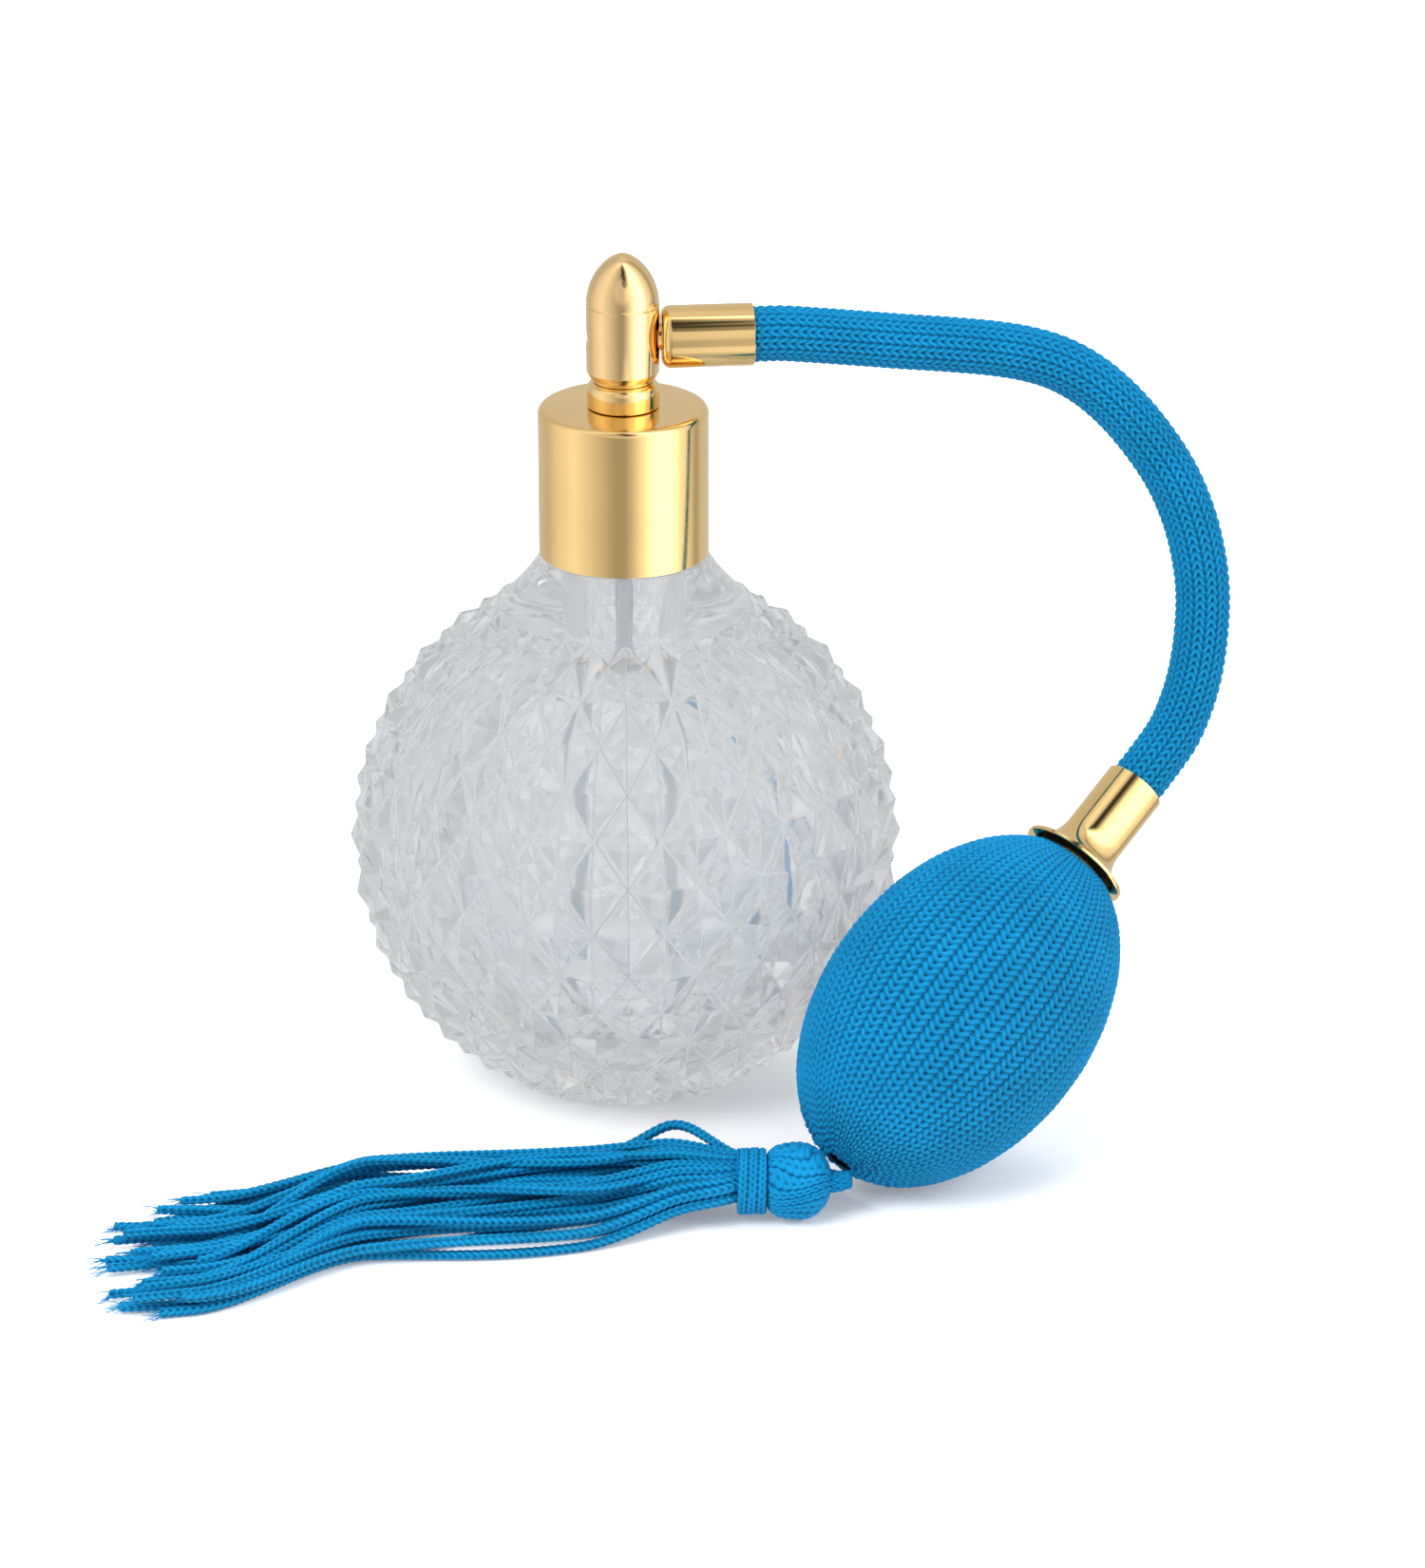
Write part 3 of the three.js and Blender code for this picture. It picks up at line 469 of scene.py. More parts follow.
def steel_finish():
    """Bright spring steel with fine drawn lines."""
    look = Finish("bright_steel", Metallic=1.0)
    lines = look.noise(400, 5.0, 0.6, look.stretched((1.0, 1.0, 8.0)))
    return look.set(
        Base_Color=look.blend(lines, linear(206, 208, 212), linear(178, 181, 186)),
        Roughness=look.between(lines, 0.16, 0.32),
        Normal=look.bump(lines, 0.08, 0.00003),
    )


glass = glass_finish()
polished_gold = gold_finish("polished_gold", linear(250, 214, 146), 0.1, 0.17, 30.0)
satin_gold = gold_finish("satin_gold", linear(247, 212, 152), 0.07, 0.12, 3.0)
mirror_gold = gold_finish("mirror_gold", linear(250, 214, 146), 0.05, 0.09, 30.0)
net_yarn = yarn_finish("knit_yarn", linear(12, 139, 195), linear(0, 64, 95))
cord_yarn = yarn_finish("cord_yarn", linear(12, 146, 204), linear(0, 58, 92))
white_plastic = plastic_finish("white_plastic", linear(234, 235, 233), 0.4)
clear_plastic = plastic_finish("clear_plastic", linear(240, 246, 248), 0.14, 0.9)
black_rubber = rubber_finish()
steel = steel_finish()


# Camera, light and ground

# Where the photograph was taken from, in m, degrees and mm of lens
camera_place = (-0.06858, -0.82874, 0.38022)
camera_tilt, camera_turn = 67.95, -5.6
camera_lens = 142.36


def camera():
    data = bpy.data.cameras.new("camera")
    data.sensor_width = 36
    data.lens = camera_lens
    data.clip_start = 0.01
    made = add_object("camera", data, camera_place)
    made.rotation_euler = Euler((math.radians(camera_tilt), 0, math.radians(camera_turn)))
    bpy.context.scene.camera = made


def soft_light(name, place, target, size, power):
    data = bpy.data.lights.new(name, "AREA")
    data.shape = "RECTANGLE"
    data.size, data.size_y = size
    data.energy = power
    made = add_object(name, data, place)
    made.rotation_euler = (Vector(target) - Vector(place)).to_track_quat("-Z", "Y").to_euler()
    # metal and glass mirror the studio's sides instead
    made.visible_glossy = False
    made.visible_transmission = False


def direction(azimuth, elevation):
    """A direction seen from the object: azimuth 0 is -Y, and positive is towards +X."""
    a, e = math.radians(azimuth), math.radians(elevation)
    return (math.cos(e) * math.sin(a), -math.cos(e) * math.cos(a), math.sin(e))


# Brightness of the studio's sides as the metal mirrors them, by azimuth
brightest = 2.4
studio_sides = [
    (-180, 0.68), (-128, 0.62), (-104, 0.9), (-74, 1.1), (-40, 0.72), (-15, 0.42),
    (-3, 0.42), (10, 0.78), (28, 1.5), (40, 2.4), (62, 2.3), (78, 1.2),
    (96, 0.87), (107, 0.45), (113, 0.45), (121, 0.66), (180, 0.68),
]
# Brightness of the surroundings through glass: the middle, and how much panels differ from it
seen_through, panels = 0.46, 0.14
panel_counts = {"X": 9.0, "Z": 11.0}
# Brightness of the surroundings as they light the object
surroundings = 0.62
# Soft spots: azimuth, elevation, full within and gone beyond these angles, and what they add
studio_spots = [
    (6, 42, 5, 12, -0.6), (6, 58, 5, 12, -0.5), (8, 73, 5, 12, -0.5),
    (-5, 26, 12, 32, 0.3), (180, 84, 10, 30, 0.15), (5, -38, 8, 15, 0.35),
]


def studio():
    """White surroundings; what metal mirrors of them has brighter and darker sides."""
    world = bpy.data.worlds.new("studio")
    bpy.context.scene.world = world
    world.use_nodes = True
    look = Nodes(world.node_tree)
    toward = look.coordinates["Generated"]
    parts = look.new("SeparateXYZ", Vector=toward).outputs

    def sides():
        """What metal mirrors of the studio's sides, by azimuth."""
        azimuth = look.math("ARCTAN2", parts["X"], look.math("MULTIPLY", parts["Y"], -1.0))
        ramp = look.new("ValToRGB", Fac=look.math("ADD", look.math("DIVIDE", azimuth, math.tau), 0.5))
        stops = ramp.color_ramp.elements
        while len(stops) < len(studio_sides):
            stops.new(0.5)
        for stop, (angle, level) in zip(stops, studio_sides):
            stop.position = (angle + 180) / 360
            stop.color = [level / brightest] * 3 + [1]
        return look.math("MULTIPLY", ramp.outputs[0], brightest)

    def spot(azimuth, elevation, inner, outer):
        """1 within inner degrees of a direction, falling to 0 at outer degrees."""
        nearness = look.new("VectorMath", {"operation": "DOT_PRODUCT"})
        look.feed(nearness.inputs, toward, direction(azimuth, elevation))
        gone, full = (math.cos(math.radians(angle)) for angle in (outer, inner))
        return look.node(
            "MapRange", {"interpolation_type": "SMOOTHSTEP"},
            Value=nearness.outputs["Value"], From_Min=gone, From_Max=full
        )

    def panelled():
        """What glass shows of the surroundings: lighter and darker panels."""
        waves = [look.math("SINE", look.math("MULTIPLY", parts[axis], panel_counts[axis])) for axis in "XZ"]
        return look.math("ADD", seen_through, look.math("MULTIPLY", look.math("ADD", *waves), panels / 2))

    mirrored = sides()
    for azimuth, elevation, inner, outer, change in studio_spots:
        added = look.math("MULTIPLY", spot(azimuth, elevation, inner, outer), change)
        mirrored = look.math("ADD", mirrored, added)
    mirrored = look.math("MAXIMUM", mirrored, 0.05)
    path = look.new("LightPath").outputs
    through = path["Is Transmission Ray"]
    mirror = look.math("MULTIPLY", path["Is Glossy Ray"], look.math("SUBTRACT", 1.0, through))
    shown = look.mix(mirror, look.mix(through, surroundings, panelled()), mirrored)
    seen = path["Is Camera Ray"]
    hidden = look.math("MULTIPLY", look.math("SUBTRACT", 1.0, seen), shown)
    brightness = look.math("ADD", seen, hidden)
    look.feed(look.tree.nodes["Background"].inputs, (1, 1, 1, 1), brightness)
    soft_light("key", (-0.55, -0.55, 0.75), (0.02, -0.02, 0.05), (0.5, 0.5), 7.5)
    soft_light("fill", (0.8, -0.35, 0.55), (0.03, -0.02, 0.05), (0.5, 0.6), 4.0)
    soft_light("back", (0.1, 0.7, 0.8), (0.0, 0.0, 0.05), (0.8, 0.4), 4.0)


def ground():
    """A white table that keeps the object's shadow."""
    look = Finish("white_table", Roughness=0.8, Specular_IOR_Level=0.1)
    path = look.new("LightPath").outputs
    # away from the lights the table turns as white as the surroundings
    distance = look.new("VectorMath", {"operation": "LENGTH"}, Vector=look.place).outputs["Value"]
    whitening = look.between(distance, 0.22, 0.5, 0.4, 1.5)
    look.set(
        Base_Color=look.blend(look.noise(40, 2.0), (0.9, 0.9, 0.9, 1), (0.93, 0.93, 0.93, 1)),
        Emission_Color=(1, 1, 1, 1),
        Emission_Strength=look.math("MULTIPLY", path["Is Camera Ray"], whitening),
    )
    # metal and glass show the studio's sides, and not the table with its shadows
    mixed = look.new("MixShader")
    hidden = look.math("MAXIMUM", path["Is Glossy Ray"], path["Is Transmission Ray"])
    look.feed(mixed.inputs, hidden, look.shader.outputs[0], look.node("BsdfTransparent"))
    look.feed(look.tree.nodes["Material Output"].inputs, mixed.outputs[0])
    reach = 3000
    level = min(0.0, cad_box[0][2] / MM) - 0.02
    sides = (-reach, -reach), (reach, -reach), (reach, reach), (-reach, reach)
    table = make_object("table", [(x, y, level) for x, y in sides], [(0, 1, 2, 3)], look.material)


camera()
studio()
ground()


# Glass bottle

cut_rounding = 0.26


def glass_bottle():
    """The cut glass ball with its shoulder, threaded neck and round hollow, as one closed piece."""
    count = pyramid_columns * 2
    angles = math.radians(pyramid_turn) + around(count)
    centre = math.sqrt(sphere_radius ** 2 - foot_radius ** 2)
    shoulder_top = cap_bottom - 0.1

    def ring(radius, height):
        return [round_point(radius, angle, height) for angle in angles]

    def cut_ring(latitude, row):
        made = []
        for i, angle in enumerate(angles):
            reach = sphere_radius - (pyramid_height if (i + row) % 2 else 0)
            height = centre + reach * math.sin(latitude)
            made.append(round_point(reach * math.cos(latitude), angle, height))
        return made

    lowest = -math.acos((foot_radius + foot_band) / sphere_radius)
    highest = math.acos(lattice_top_radius / sphere_radius)
    rings = [ring(foot_radius - 0.6, 0), ring(foot_radius - 0.15, 0.15), ring(foot_radius + 0.1, 0.6)]
    first_cut = len(rings)
    for row in range(pyramid_rows + 1):
        rings.append(cut_ring(lowest + (highest - lowest) * row / pyramid_rows, row))
    last_cut = len(rings) - 1
    seat = cap_radius - 0.1
    start = np.array((lattice_top_radius - pyramid_height, centre + sphere_radius * math.sin(highest) + 1))
    bend = np.array((seat + shoulder_flare, shoulder_top - thread_start - 0.4))
    end = np.array((seat, shoulder_top - 0.25))
    rings += [ring(*curve_point(start, bend, end, share)) for share in np.linspace(0, 1, 10)]
    rings += [ring(seat - 0.25, shoulder_top), ring(neck_radius + 0.3, shoulder_top)]
    rings.append(ring(neck_radius, shoulder_top + 0.3))
    for height in np.linspace(shoulder_top + 0.6, rim - 0.4, 50):
        rings.append([neck_point(angle, height, shoulder_top) for angle in around(count)])
    rings += [ring(neck_radius - 0.12, rim - 0.12), ring(neck_radius - 0.4, rim)]
    rings += [ring(neck_bore + 0.3, rim), ring(neck_bore, rim - 0.3)]
    cavity = sphere_radius - glass_wall
    inner_edge = math.asin(neck_bore / cavity)
    for height in np.linspace(rim - 1.5, centre + cavity * math.cos(inner_edge) + 1.5, 6):
        rings.append(ring(neck_bore, height))
    for turn in np.linspace(inner_edge, math.pi, 40)[:-1]:
        rings.append(ring(cavity * math.sin(turn), centre + cavity * math.cos(turn)))
    points = [point for row in rings for point in row]
    faces = []
    for r in range(len(rings) - 1):
        for i in range(count):
            j = (i + 1) % count
            a, b, c, d = r * count + i, r * count + j, (r + 1) * count + j, (r + 1) * count + i
            if first_cut - 1 <= r <= last_cut:
                tip_at_a = (i + r - first_cut) % 2 == 0
                faces += [(a, b, d), (b, c, d)] if tip_at_a else [(a, b, c), (a, c, d)]
            else:
                faces.append((a, b, c, d))
    foot, floor = len(points), len(points) + 1
    points += [(0, 0, 0), (0, 0, centre - cavity)]
    last = (len(rings) - 1) * count
    for i in range(count):
        j = (i + 1) % count
        faces += [(foot, j, i), (floor, last + i, last + j)]
    piece = make_outward(make_object("cut_glass_bottle", points, faces, glass))
    round_cuts(piece, centre, cavity, rings[first_cut - 1][0][2] - 0.01, start[1] + 0.01)
    stand_for(piece, "bottle", "glass_bottle")


def round_cuts(piece, centre, cavity, bottom, top):
    """Rounds the edges of the pyramids between two heights, and keeps their faces flat."""
    shape = bmesh.new()
    shape.from_mesh(piece.data)
    cut_edges = []
    for edge in shape.edges:
        middle = (edge.verts[0].co + edge.verts[1].co) / 2 / MM
        outside = math.hypot(middle.x, middle.y, middle.z - centre) > cavity + 3
        if outside and bottom < middle.z < top and edge.calc_face_angle(0) > math.radians(4):
            cut_edges.append(edge)
    bmesh.ops.bevel(
        shape, geom=cut_edges, offset=cut_rounding * MM, segments=2, profile=0.5, affect="EDGES",
        clamp_overlap=True
    )
    shape.to_mesh(piece.data)
    shape.free()
    piece.data.shade_smooth()
    weighted = piece.modifiers.new("facets", "WEIGHTED_NORMAL")
    weighted.weight = 80
    weighted.keep_sharp = False


def neck_point(angle, height, shoulder_top):
    """A point of the neck, raised where the thread's ridge passes."""
    total = thread_turns * math.tau
    fade_angle = 0.8
    rise = 0.0
    for turn in range(math.ceil(thread_turns)):
        along = angle + turn * math.tau
        middle = shoulder_top + thread_start + along / math.tau * thread_pitch
        across = abs(height - middle) / (thread_width / 2)
        fade = min(1.0, along / fade_angle, (total - along) / fade_angle)
        rise = max(rise, thread_depth * fade * min(1.0, max(0.0, 2 * (1 - across))))
    return round_point(neck_radius + rise, angle, height)


glass_bottle()


# Cap, collar and stem

def gold_cap():
    wall, roof, edge = 0.6, 0.9, 1
    profile = [(cap_radius, cap_bottom)]
    profile += arc((cap_radius - edge, cap_top - edge), edge, 0, 90, 8)
    profile += [(stem_hole, cap_top), (stem_hole, cap_top - roof)]
    profile += [(cap_radius - wall, cap_top - roof), (cap_radius - wall, cap_bottom)]
    stand_for(lathe("gold_cap", profile, polished_gold, 128), "cap", "cap_shell")


def cap_insert():
    bore = insert_radius - 1.75
    web = insert_top - 2.2
    profile = [(insert_radius, insert_bottom), (insert_radius, insert_top), (stem_hole, insert_top)]
    profile += [(stem_hole, web), (bore, web), (bore, insert_bottom)]
    piece = lathe("cap_insert", soften(profile, 0.2), white_plastic, 72)
    stand_for(piece, "cap", "cap_thread_insert")


def gold_collar():
    top = collar_bottom + 2.6
    profile = [(stem_hole, collar_bottom), (collar_radius, collar_bottom), (collar_radius, top)]
    profile += [(collar_radius - 0.2, top + 0.63), (groove_radius + 0.15, collar_top - 0.1)]
    profile += [(groove_radius, collar_top), (stem_hole, collar_top)]
    piece = lathe("gold_collar", soften(profile, 0.22, 4), mirror_gold)
    stand_for(piece, "stem", "stem_collar")


def pipe(outer, inner, low, high):
    """The profile of a plain round tube or ring."""
    return [(outer, low), (outer, high), (inner, high), (inner, low)]


def dip_tube():
    piece = lathe("thin_dip_tube", soften(pipe(1.5, 0.9, *span("dip_tube", 2)), 0.1), clear_plastic, 40)
    stand_for(piece, "stem", "dip_tube")


def gasket():
    profile = pipe(neck_radius, neck_bore, *span("neck_gasket", 2))
    piece = lathe("gasket", soften(profile, 0.2), white_plastic, 72)
    stand_for(piece, "lifted", "neck_gasket")


gold_cap()
cap_insert()
gold_collar()
dip_tube()
gasket()


# Spray head, nozzle and ferrules

ferrule_wall = 0.23


def drill(piece, radius, low, high):
    """Takes a round hole out of a piece, along the nozzle's axis."""
    rod = [(0, low), (radius, low), (radius, high), (0, high)]
    tool = lathe("hole", rod, satin_gold, 48, nozzle_side)
    cut = piece.modifiers.new("hole", "BOOLEAN")
    cut.operation = "DIFFERENCE"
    cut.object = tool
    mesh = bpy.data.meshes.new_from_object(piece.evaluated_get(bpy.context.evaluated_depsgraph_get()))
    piece.modifiers.clear()
    piece.data = mesh
    mesh.set_sharp_from_angle(angle=math.radians(turned_crease))
    bpy.data.objects.remove(tool)


def bullet_head():
    """The spray head: a straight body with a rounded nose, and a faint line between them."""
    nose = 7.5
    nose_bottom = head_top - nose
    profile = [(stem_hole, head_bottom), (groove_radius, head_bottom)]
    profile += [(groove_radius + 0.15, head_bottom + 0.2), (head_radius - 0.05, head_bottom + 1.35)]
    profile += [(head_radius, head_bottom + 1.6), (head_radius, nose_bottom - 0.06)]
    profile += [(head_radius - 0.07, nose_bottom), (head_radius - 0.02, nose_bottom + 0.08)]
    for turn in np.linspace(0.04, 1, 30):
        along = math.sin(turn * math.pi / 2)
        profile.append((head_radius * max(0.0, 1 - along ** 2) ** 0.62, nose_bottom + nose * along))
    profile[-1] = (0.0, head_top)
    bore_top = hose_axis_height - 2.45
    profile += [(0.0, bore_top), (stem_hole, bore_top)]
    piece = lathe("bullet_head", profile, satin_gold, 128)
    drill(piece, nozzle_radius + 0.04, nozzle_inner, head_radius + 1)
    stand_for(piece, "head", "spray_head")


def spray_nozzle():
    mouth, hole = 0.9, 0.25
    profile = [(nozzle_radius, nozzle_inner), (nozzle_radius, nozzle_outer), (mouth, nozzle_outer)]
    profile += [(hole, nozzle_outer - 0.7), (hole, nozzle_inner)]
    piece = lathe("spray_nozzle", soften(profile, 0.08), polished_gold, 64, nozzle_side)
    stand_for(piece, "head", "nozzle_insert")


def ferrule_mouth(end):
    """The thin, rounded edge where the hose goes into a ferrule."""
    bore = ferrule_radius - ferrule_wall
    return [(ferrule_radius, end - 0.12), (ferrule_radius - 0.12, end), (bore, end - 0.05)]


def head_ferrule():
    edge, floor, hole = 1.3, ferrule_start + 1.5, 1.95
    profile = [(hole, ferrule_start)]
    profile += arc((ferrule_radius - edge, ferrule_start + edge), edge, -90, 0, 10)
    profile += ferrule_mouth(ferrule_end)
    profile += [(ferrule_radius - ferrule_wall, floor), (hole, floor)]
    piece = lathe("head_ferrule", profile, mirror_gold, 96, head_side)
    stand_for(piece, "head", "hose_ferrule")


def bulb_ferrule():
    """A straight ferrule that flares to a thin disc on the bulb's neck."""
    start = bulb_ferrule_start
    disc, thick, flare_length = 7.95, 0.7, 4.6
    flare = start + thick
    depth = disc - 0.8 - ferrule_radius
    profile = [(ferrule_radius - ferrule_wall, start), (disc - 0.1, start), (disc, start + 0.12)]
    profile += [(disc, flare - 0.22), (disc - 0.15, flare - 0.08)]
    for turn in np.linspace(0, 1, 14) * math.pi / 2:
        radius = ferrule_radius + depth * (1 - math.sin(turn))
        profile.append((radius, flare + flare_length * (1 - math.cos(turn))))
    profile += ferrule_mouth(start + bulb_ferrule_length)
    piece = lathe("bulb_end_ferrule", profile, mirror_gold, 96, bulb_place)
    stand_for(piece, "head", "bulb_ferrule")


bullet_head()
spray_nozzle()
head_ferrule()
bulb_ferrule()


# Knit

def stitch(across, along, width, rise, yarn):
    """A stitch is a V of yarn. across runs from -0.5 to 0.5 of a column's width, along counts the
    courses, and width, rise and yarn are in mm. Gives how high the yarn stands, from 0 in the gaps
    to 1, and the way along it."""
    side = np.abs(across)
    foot, lean = 0.07, 0.36
    slope = lean * width / rise
    best = np.zeros(np.broadcast(across, along).shape)
    way = np.zeros_like(best)
    within = along - np.floor(along)
    for turn in (-1, 0, 1):
        place = within - turn
        centre = foot + lean * np.clip(place, -0.2, 1.2)
        offset = (side - centre) * width / np.sqrt(1 + slope ** 2)
        round_yarn = np.sqrt(np.clip(1 - (offset / yarn) ** 2, 0, 1))
        lift = np.clip(np.cos(math.pi * (place - 0.5) / 1.7), 0, 1)
        height = round_yarn * (0.3 + 0.7 * lift) * (lift > 0)
        take = height > best
        best = np.where(take, height, best)
        way = np.where(take, place * rise * 1.4 + offset * 1.2 + np.sign(across) * 0.3, way)
    # small holes stay open inside each V and between two columns, and take the painted shade of the gaps
    for middle, course in ((0.0, 0.5), (0.5, 0.0)):
        up = within - course - np.round(within - course)
        hole = np.exp(-((side - middle) / 0.11) ** 2 - (up / 0.2) ** 2)
        best = best * (1 - 0.85 * hole)
    return best, way


def knit_object(name, outer, inner, depth, fibre, material):
    """A closed tube of knit from its outer grid of points and a plainer inner grid."""
    rows, columns = outer.shape[:2]
    inner_rows = inner.shape[0]
    points = np.concatenate([outer.reshape(-1, 3), inner.reshape(-1, 3)])
    start = rows * columns
    faces = grid_faces(rows, columns)
    faces += [face[::-1] for face in grid_faces(inner_rows, columns, start)]
    last, inner_last = (rows - 1) * columns, start + (inner_rows - 1) * columns
    for i in range(columns):
        j = (i + 1) % columns
        faces.append((j, i, start + i, start + j))
        faces.append((last + i, last + j, inner_last + j, inner_last + i))
    piece = make_object(name, points, faces, material)
    # the inner grid stands at 0 everywhere, so it takes the full painted shade of the gaps
    plain_part = np.zeros(inner_rows * columns)
    add_yarn_values(piece, *(np.append(values, plain_part) for values in (depth, fibre)))
    return piece


def stitch_columns(count, per_column):
    """Round a tube of knit: the angles, how far across its column of stitches each of them is,
    and the column's number."""
    index = np.arange(count * per_column)
    across = (index % per_column + 0.5) / per_column - 0.5
    return around(len(index)), across, index // per_column


def bulb_net():
    """The net: columns of stitches run from the tail to the neck, where they crowd together."""
    wales, per_wale, per_course = 40, 14, 6
    rise, relief = 1.12, 0.6
    reach = bulb_half_length
    dense = np.linspace(-math.pi / 2, math.pi / 2, 4000)
    height = reach * np.sin(dense)
    dense = dense[(height > -bulb_tail_reach) & (height < bulb_neck_reach)]
    length = line_lengths(np.stack([bulb_radius * np.cos(dense), reach * np.sin(dense)], 1))
    rows = round(length[-1] / rise) * per_course + 1
    station = np.linspace(0, length[-1], rows)
    turn = np.interp(station, length, dense)[:, None]
    angle, across, wale = stitch_columns(wales, per_wale)
    # each column of stitches sits a little off its neighbours, as a stretched net does
    shift = 0.25 * np.sin(wale * 2.4) + 0.12 * np.sin(wale * 7.1)
    along = station[:, None] / rise + shift
    radius = bulb_radius * np.cos(turn)
    width = math.tau * radius / wales
    yarn = np.minimum(0.46, 0.2 * width + 0.06)
    height, way = stitch(across, along, width, rise, yarn)
    # drawn together at the tail, the courses stand up as rows of bumps, with painted shade between them
    gathered = np.clip((-np.degrees(turn) - 52) / 20, 0, 1)
    height = height * (1 - 0.55 * gathered * (0.5 + 0.5 * np.cos(math.tau * along)))
    slack = 0.06 * np.sin(along * 5.3 + angle * 3) * height
    normal_r = reach * np.cos(turn)
    normal_z = bulb_radius * np.sin(turn)
    size = np.sqrt(normal_r ** 2 + normal_z ** 2)
    lump = gathered * 0.22 * np.sin(angle * 9 + along * 0.9) * np.sin(along * 1.3 + angle * 4)
    drop = relief * (1 - height) + slack * 0.5 + lump + np.abs(lump).max()
    inner_turn = np.unique(np.append(turn[::24], turn[-1]))[:, None]
    within = relief + 0.12

    def placed(r, z):
        points = np.stack(np.broadcast_arrays(r * np.cos(angle), r * np.sin(angle), z), -1)
        return carried(points, bulb_place)

    outer = placed(radius - drop * normal_r / size, reach * np.sin(turn) - drop * normal_z / size)
    inner = placed((bulb_radius - within) * np.cos(inner_turn), (reach - within) * np.sin(inner_turn))
    piece = knit_object("knitted_net", outer, inner, height, way, net_yarn)
    stand_for(piece, "head", "bulb_net")
    squeeze(piece)


def rubber_bulb():
    """The egg-shaped bulb under the net, with a stepped hole at its tail for the inlet valve."""
    depth, wall = 0.78, 1.6
    tail, tail_inside, neck_inside = -27.23, -25.8, 22.3
    seat, seat_radius, hole = -26.4, 3.9, 3.05

    def curve(depth, first, last, steps):
        reach, radius = bulb_half_length - depth, bulb_radius - depth
        first, last = (math.asin(max(-1, min(1, end / reach))) for end in (first, last))
        return [(radius * math.cos(t), reach * math.sin(t)) for t in np.linspace(first, last, steps)]

    profile = curve(depth, tail, bulb_neck_reach, 40) + curve(depth + wall, neck_inside, tail_inside, 30)
    profile += [(hole, seat), (seat_radius, seat)]
    piece = lathe("squeeze_bulb", profile, black_rubber, 72, bulb_place)
    stand_for(piece, "head", "rubber_bulb")
    squeeze(piece)


def squeeze(piece):
    """Gives the piece a mesh of its own."""
    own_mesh(piece)


bulb_net()
rubber_bulb()


# Hose

# Points that the free part of the hose passes through, as in the CAD model
free_hose = [
    (26.2, 0.2, 110.7), (33, 0.5, 109.9), (39.8, 0.7, 109.1), (46.6, 0.8, 108.4), (53, 0.8, 107.6),
    (57.6, 0.7, 106.7), (61.8, 0.6, 105.3), (65.8, 0.3, 103.1), (69.8, 0, 99.8), (74, -0.7, 95.1),
    (78.2, -1.8, 88.9), (80.7, -2.9, 83.2), (82.1, -4.2, 77.8), (82.7, -5.6, 72.6), (82.4, -7.4, 67.4),
    (81.3, -9.9, 61.9), (79.7, -12.3, 57.9), (77.5, -14.9, 54.4),
]


def hose_points():
    """The hose's route, as in the CAD model: straight in each ferrule, and free between them."""
    start = ferrule_start + 2.5
    out = [start, (ferrule_start + ferrule_end) / 2, ferrule_end, ferrule_end + hose_radius]
    end = bulb_ferrule_start + bulb_ferrule_length
    inside = bulb_ferrule_start + 5
    back = [end + hose_radius, end, (inside + end) / 2, inside]
    points = [(x, 0, hose_axis_height) for x in out] + free_hose
    points += [tuple(bulb_centre + bulb_axis * along) for along in back]
    return np.array(points, float)


def smooth_route(points, spacing):
    """Even points along a smooth curve through the given ones."""
    padded = np.vstack([2 * points[0] - points[1], points, 2 * points[-1] - points[-2]])
    made = []
    for p0, p1, p2, p3 in zip(padded, padded[1:], padded[2:], padded[3:]):
        d0, d1, d2 = (math.sqrt(np.linalg.norm(b - a)) for a, b in ((p0, p1), (p1, p2), (p2, p3)))
        leave = ((p1 - p0) / d0 - (p2 - p0) / (d0 + d1) + (p2 - p1) / d1) * d1
        enter = ((p2 - p1) / d1 - (p3 - p1) / (d1 + d2) + (p3 - p2) / d2) * d1
        square = 3 * (p2 - p1) - 2 * leave - enter
        cube = 2 * (p1 - p2) + leave + enter
        for t in np.linspace(0, 1, 40, endpoint=False):
            made.append(p1 + leave * t + square * t ** 2 + cube * t ** 3)
    made = np.array(made + [padded[-2]])
    length = line_lengths(made)[-1]
    return even_points(made, round(length / spacing) + 1)[0], length


def frames_along(route):
    """Two crosswise directions at each point of a route, carried along it without twist."""
    tangent = np.gradient(route, axis=0)
    tangent /= np.linalg.norm(tangent, axis=1)[:, None]
    up = np.array((0.0, 0.0, 1.0))
    ups, sides = [], []
    for t in tangent:
        up = up - t * (up @ t)
        up /= np.linalg.norm(up)
        ups.append(up.copy())
        sides.append(np.cross(t, up))
    return np.array(ups), np.array(sides)


def tube_grid(route, ups, sides, radius, angles):
    """Points round a route: radius is one value, or one for each point of the grid."""
    spokes = ups[:, None] * np.cos(angles)[:, None] + sides[:, None] * np.sin(angles)[:, None]
    return route[:, None] + spokes * np.broadcast_to(radius, spokes.shape[:2])[..., None]


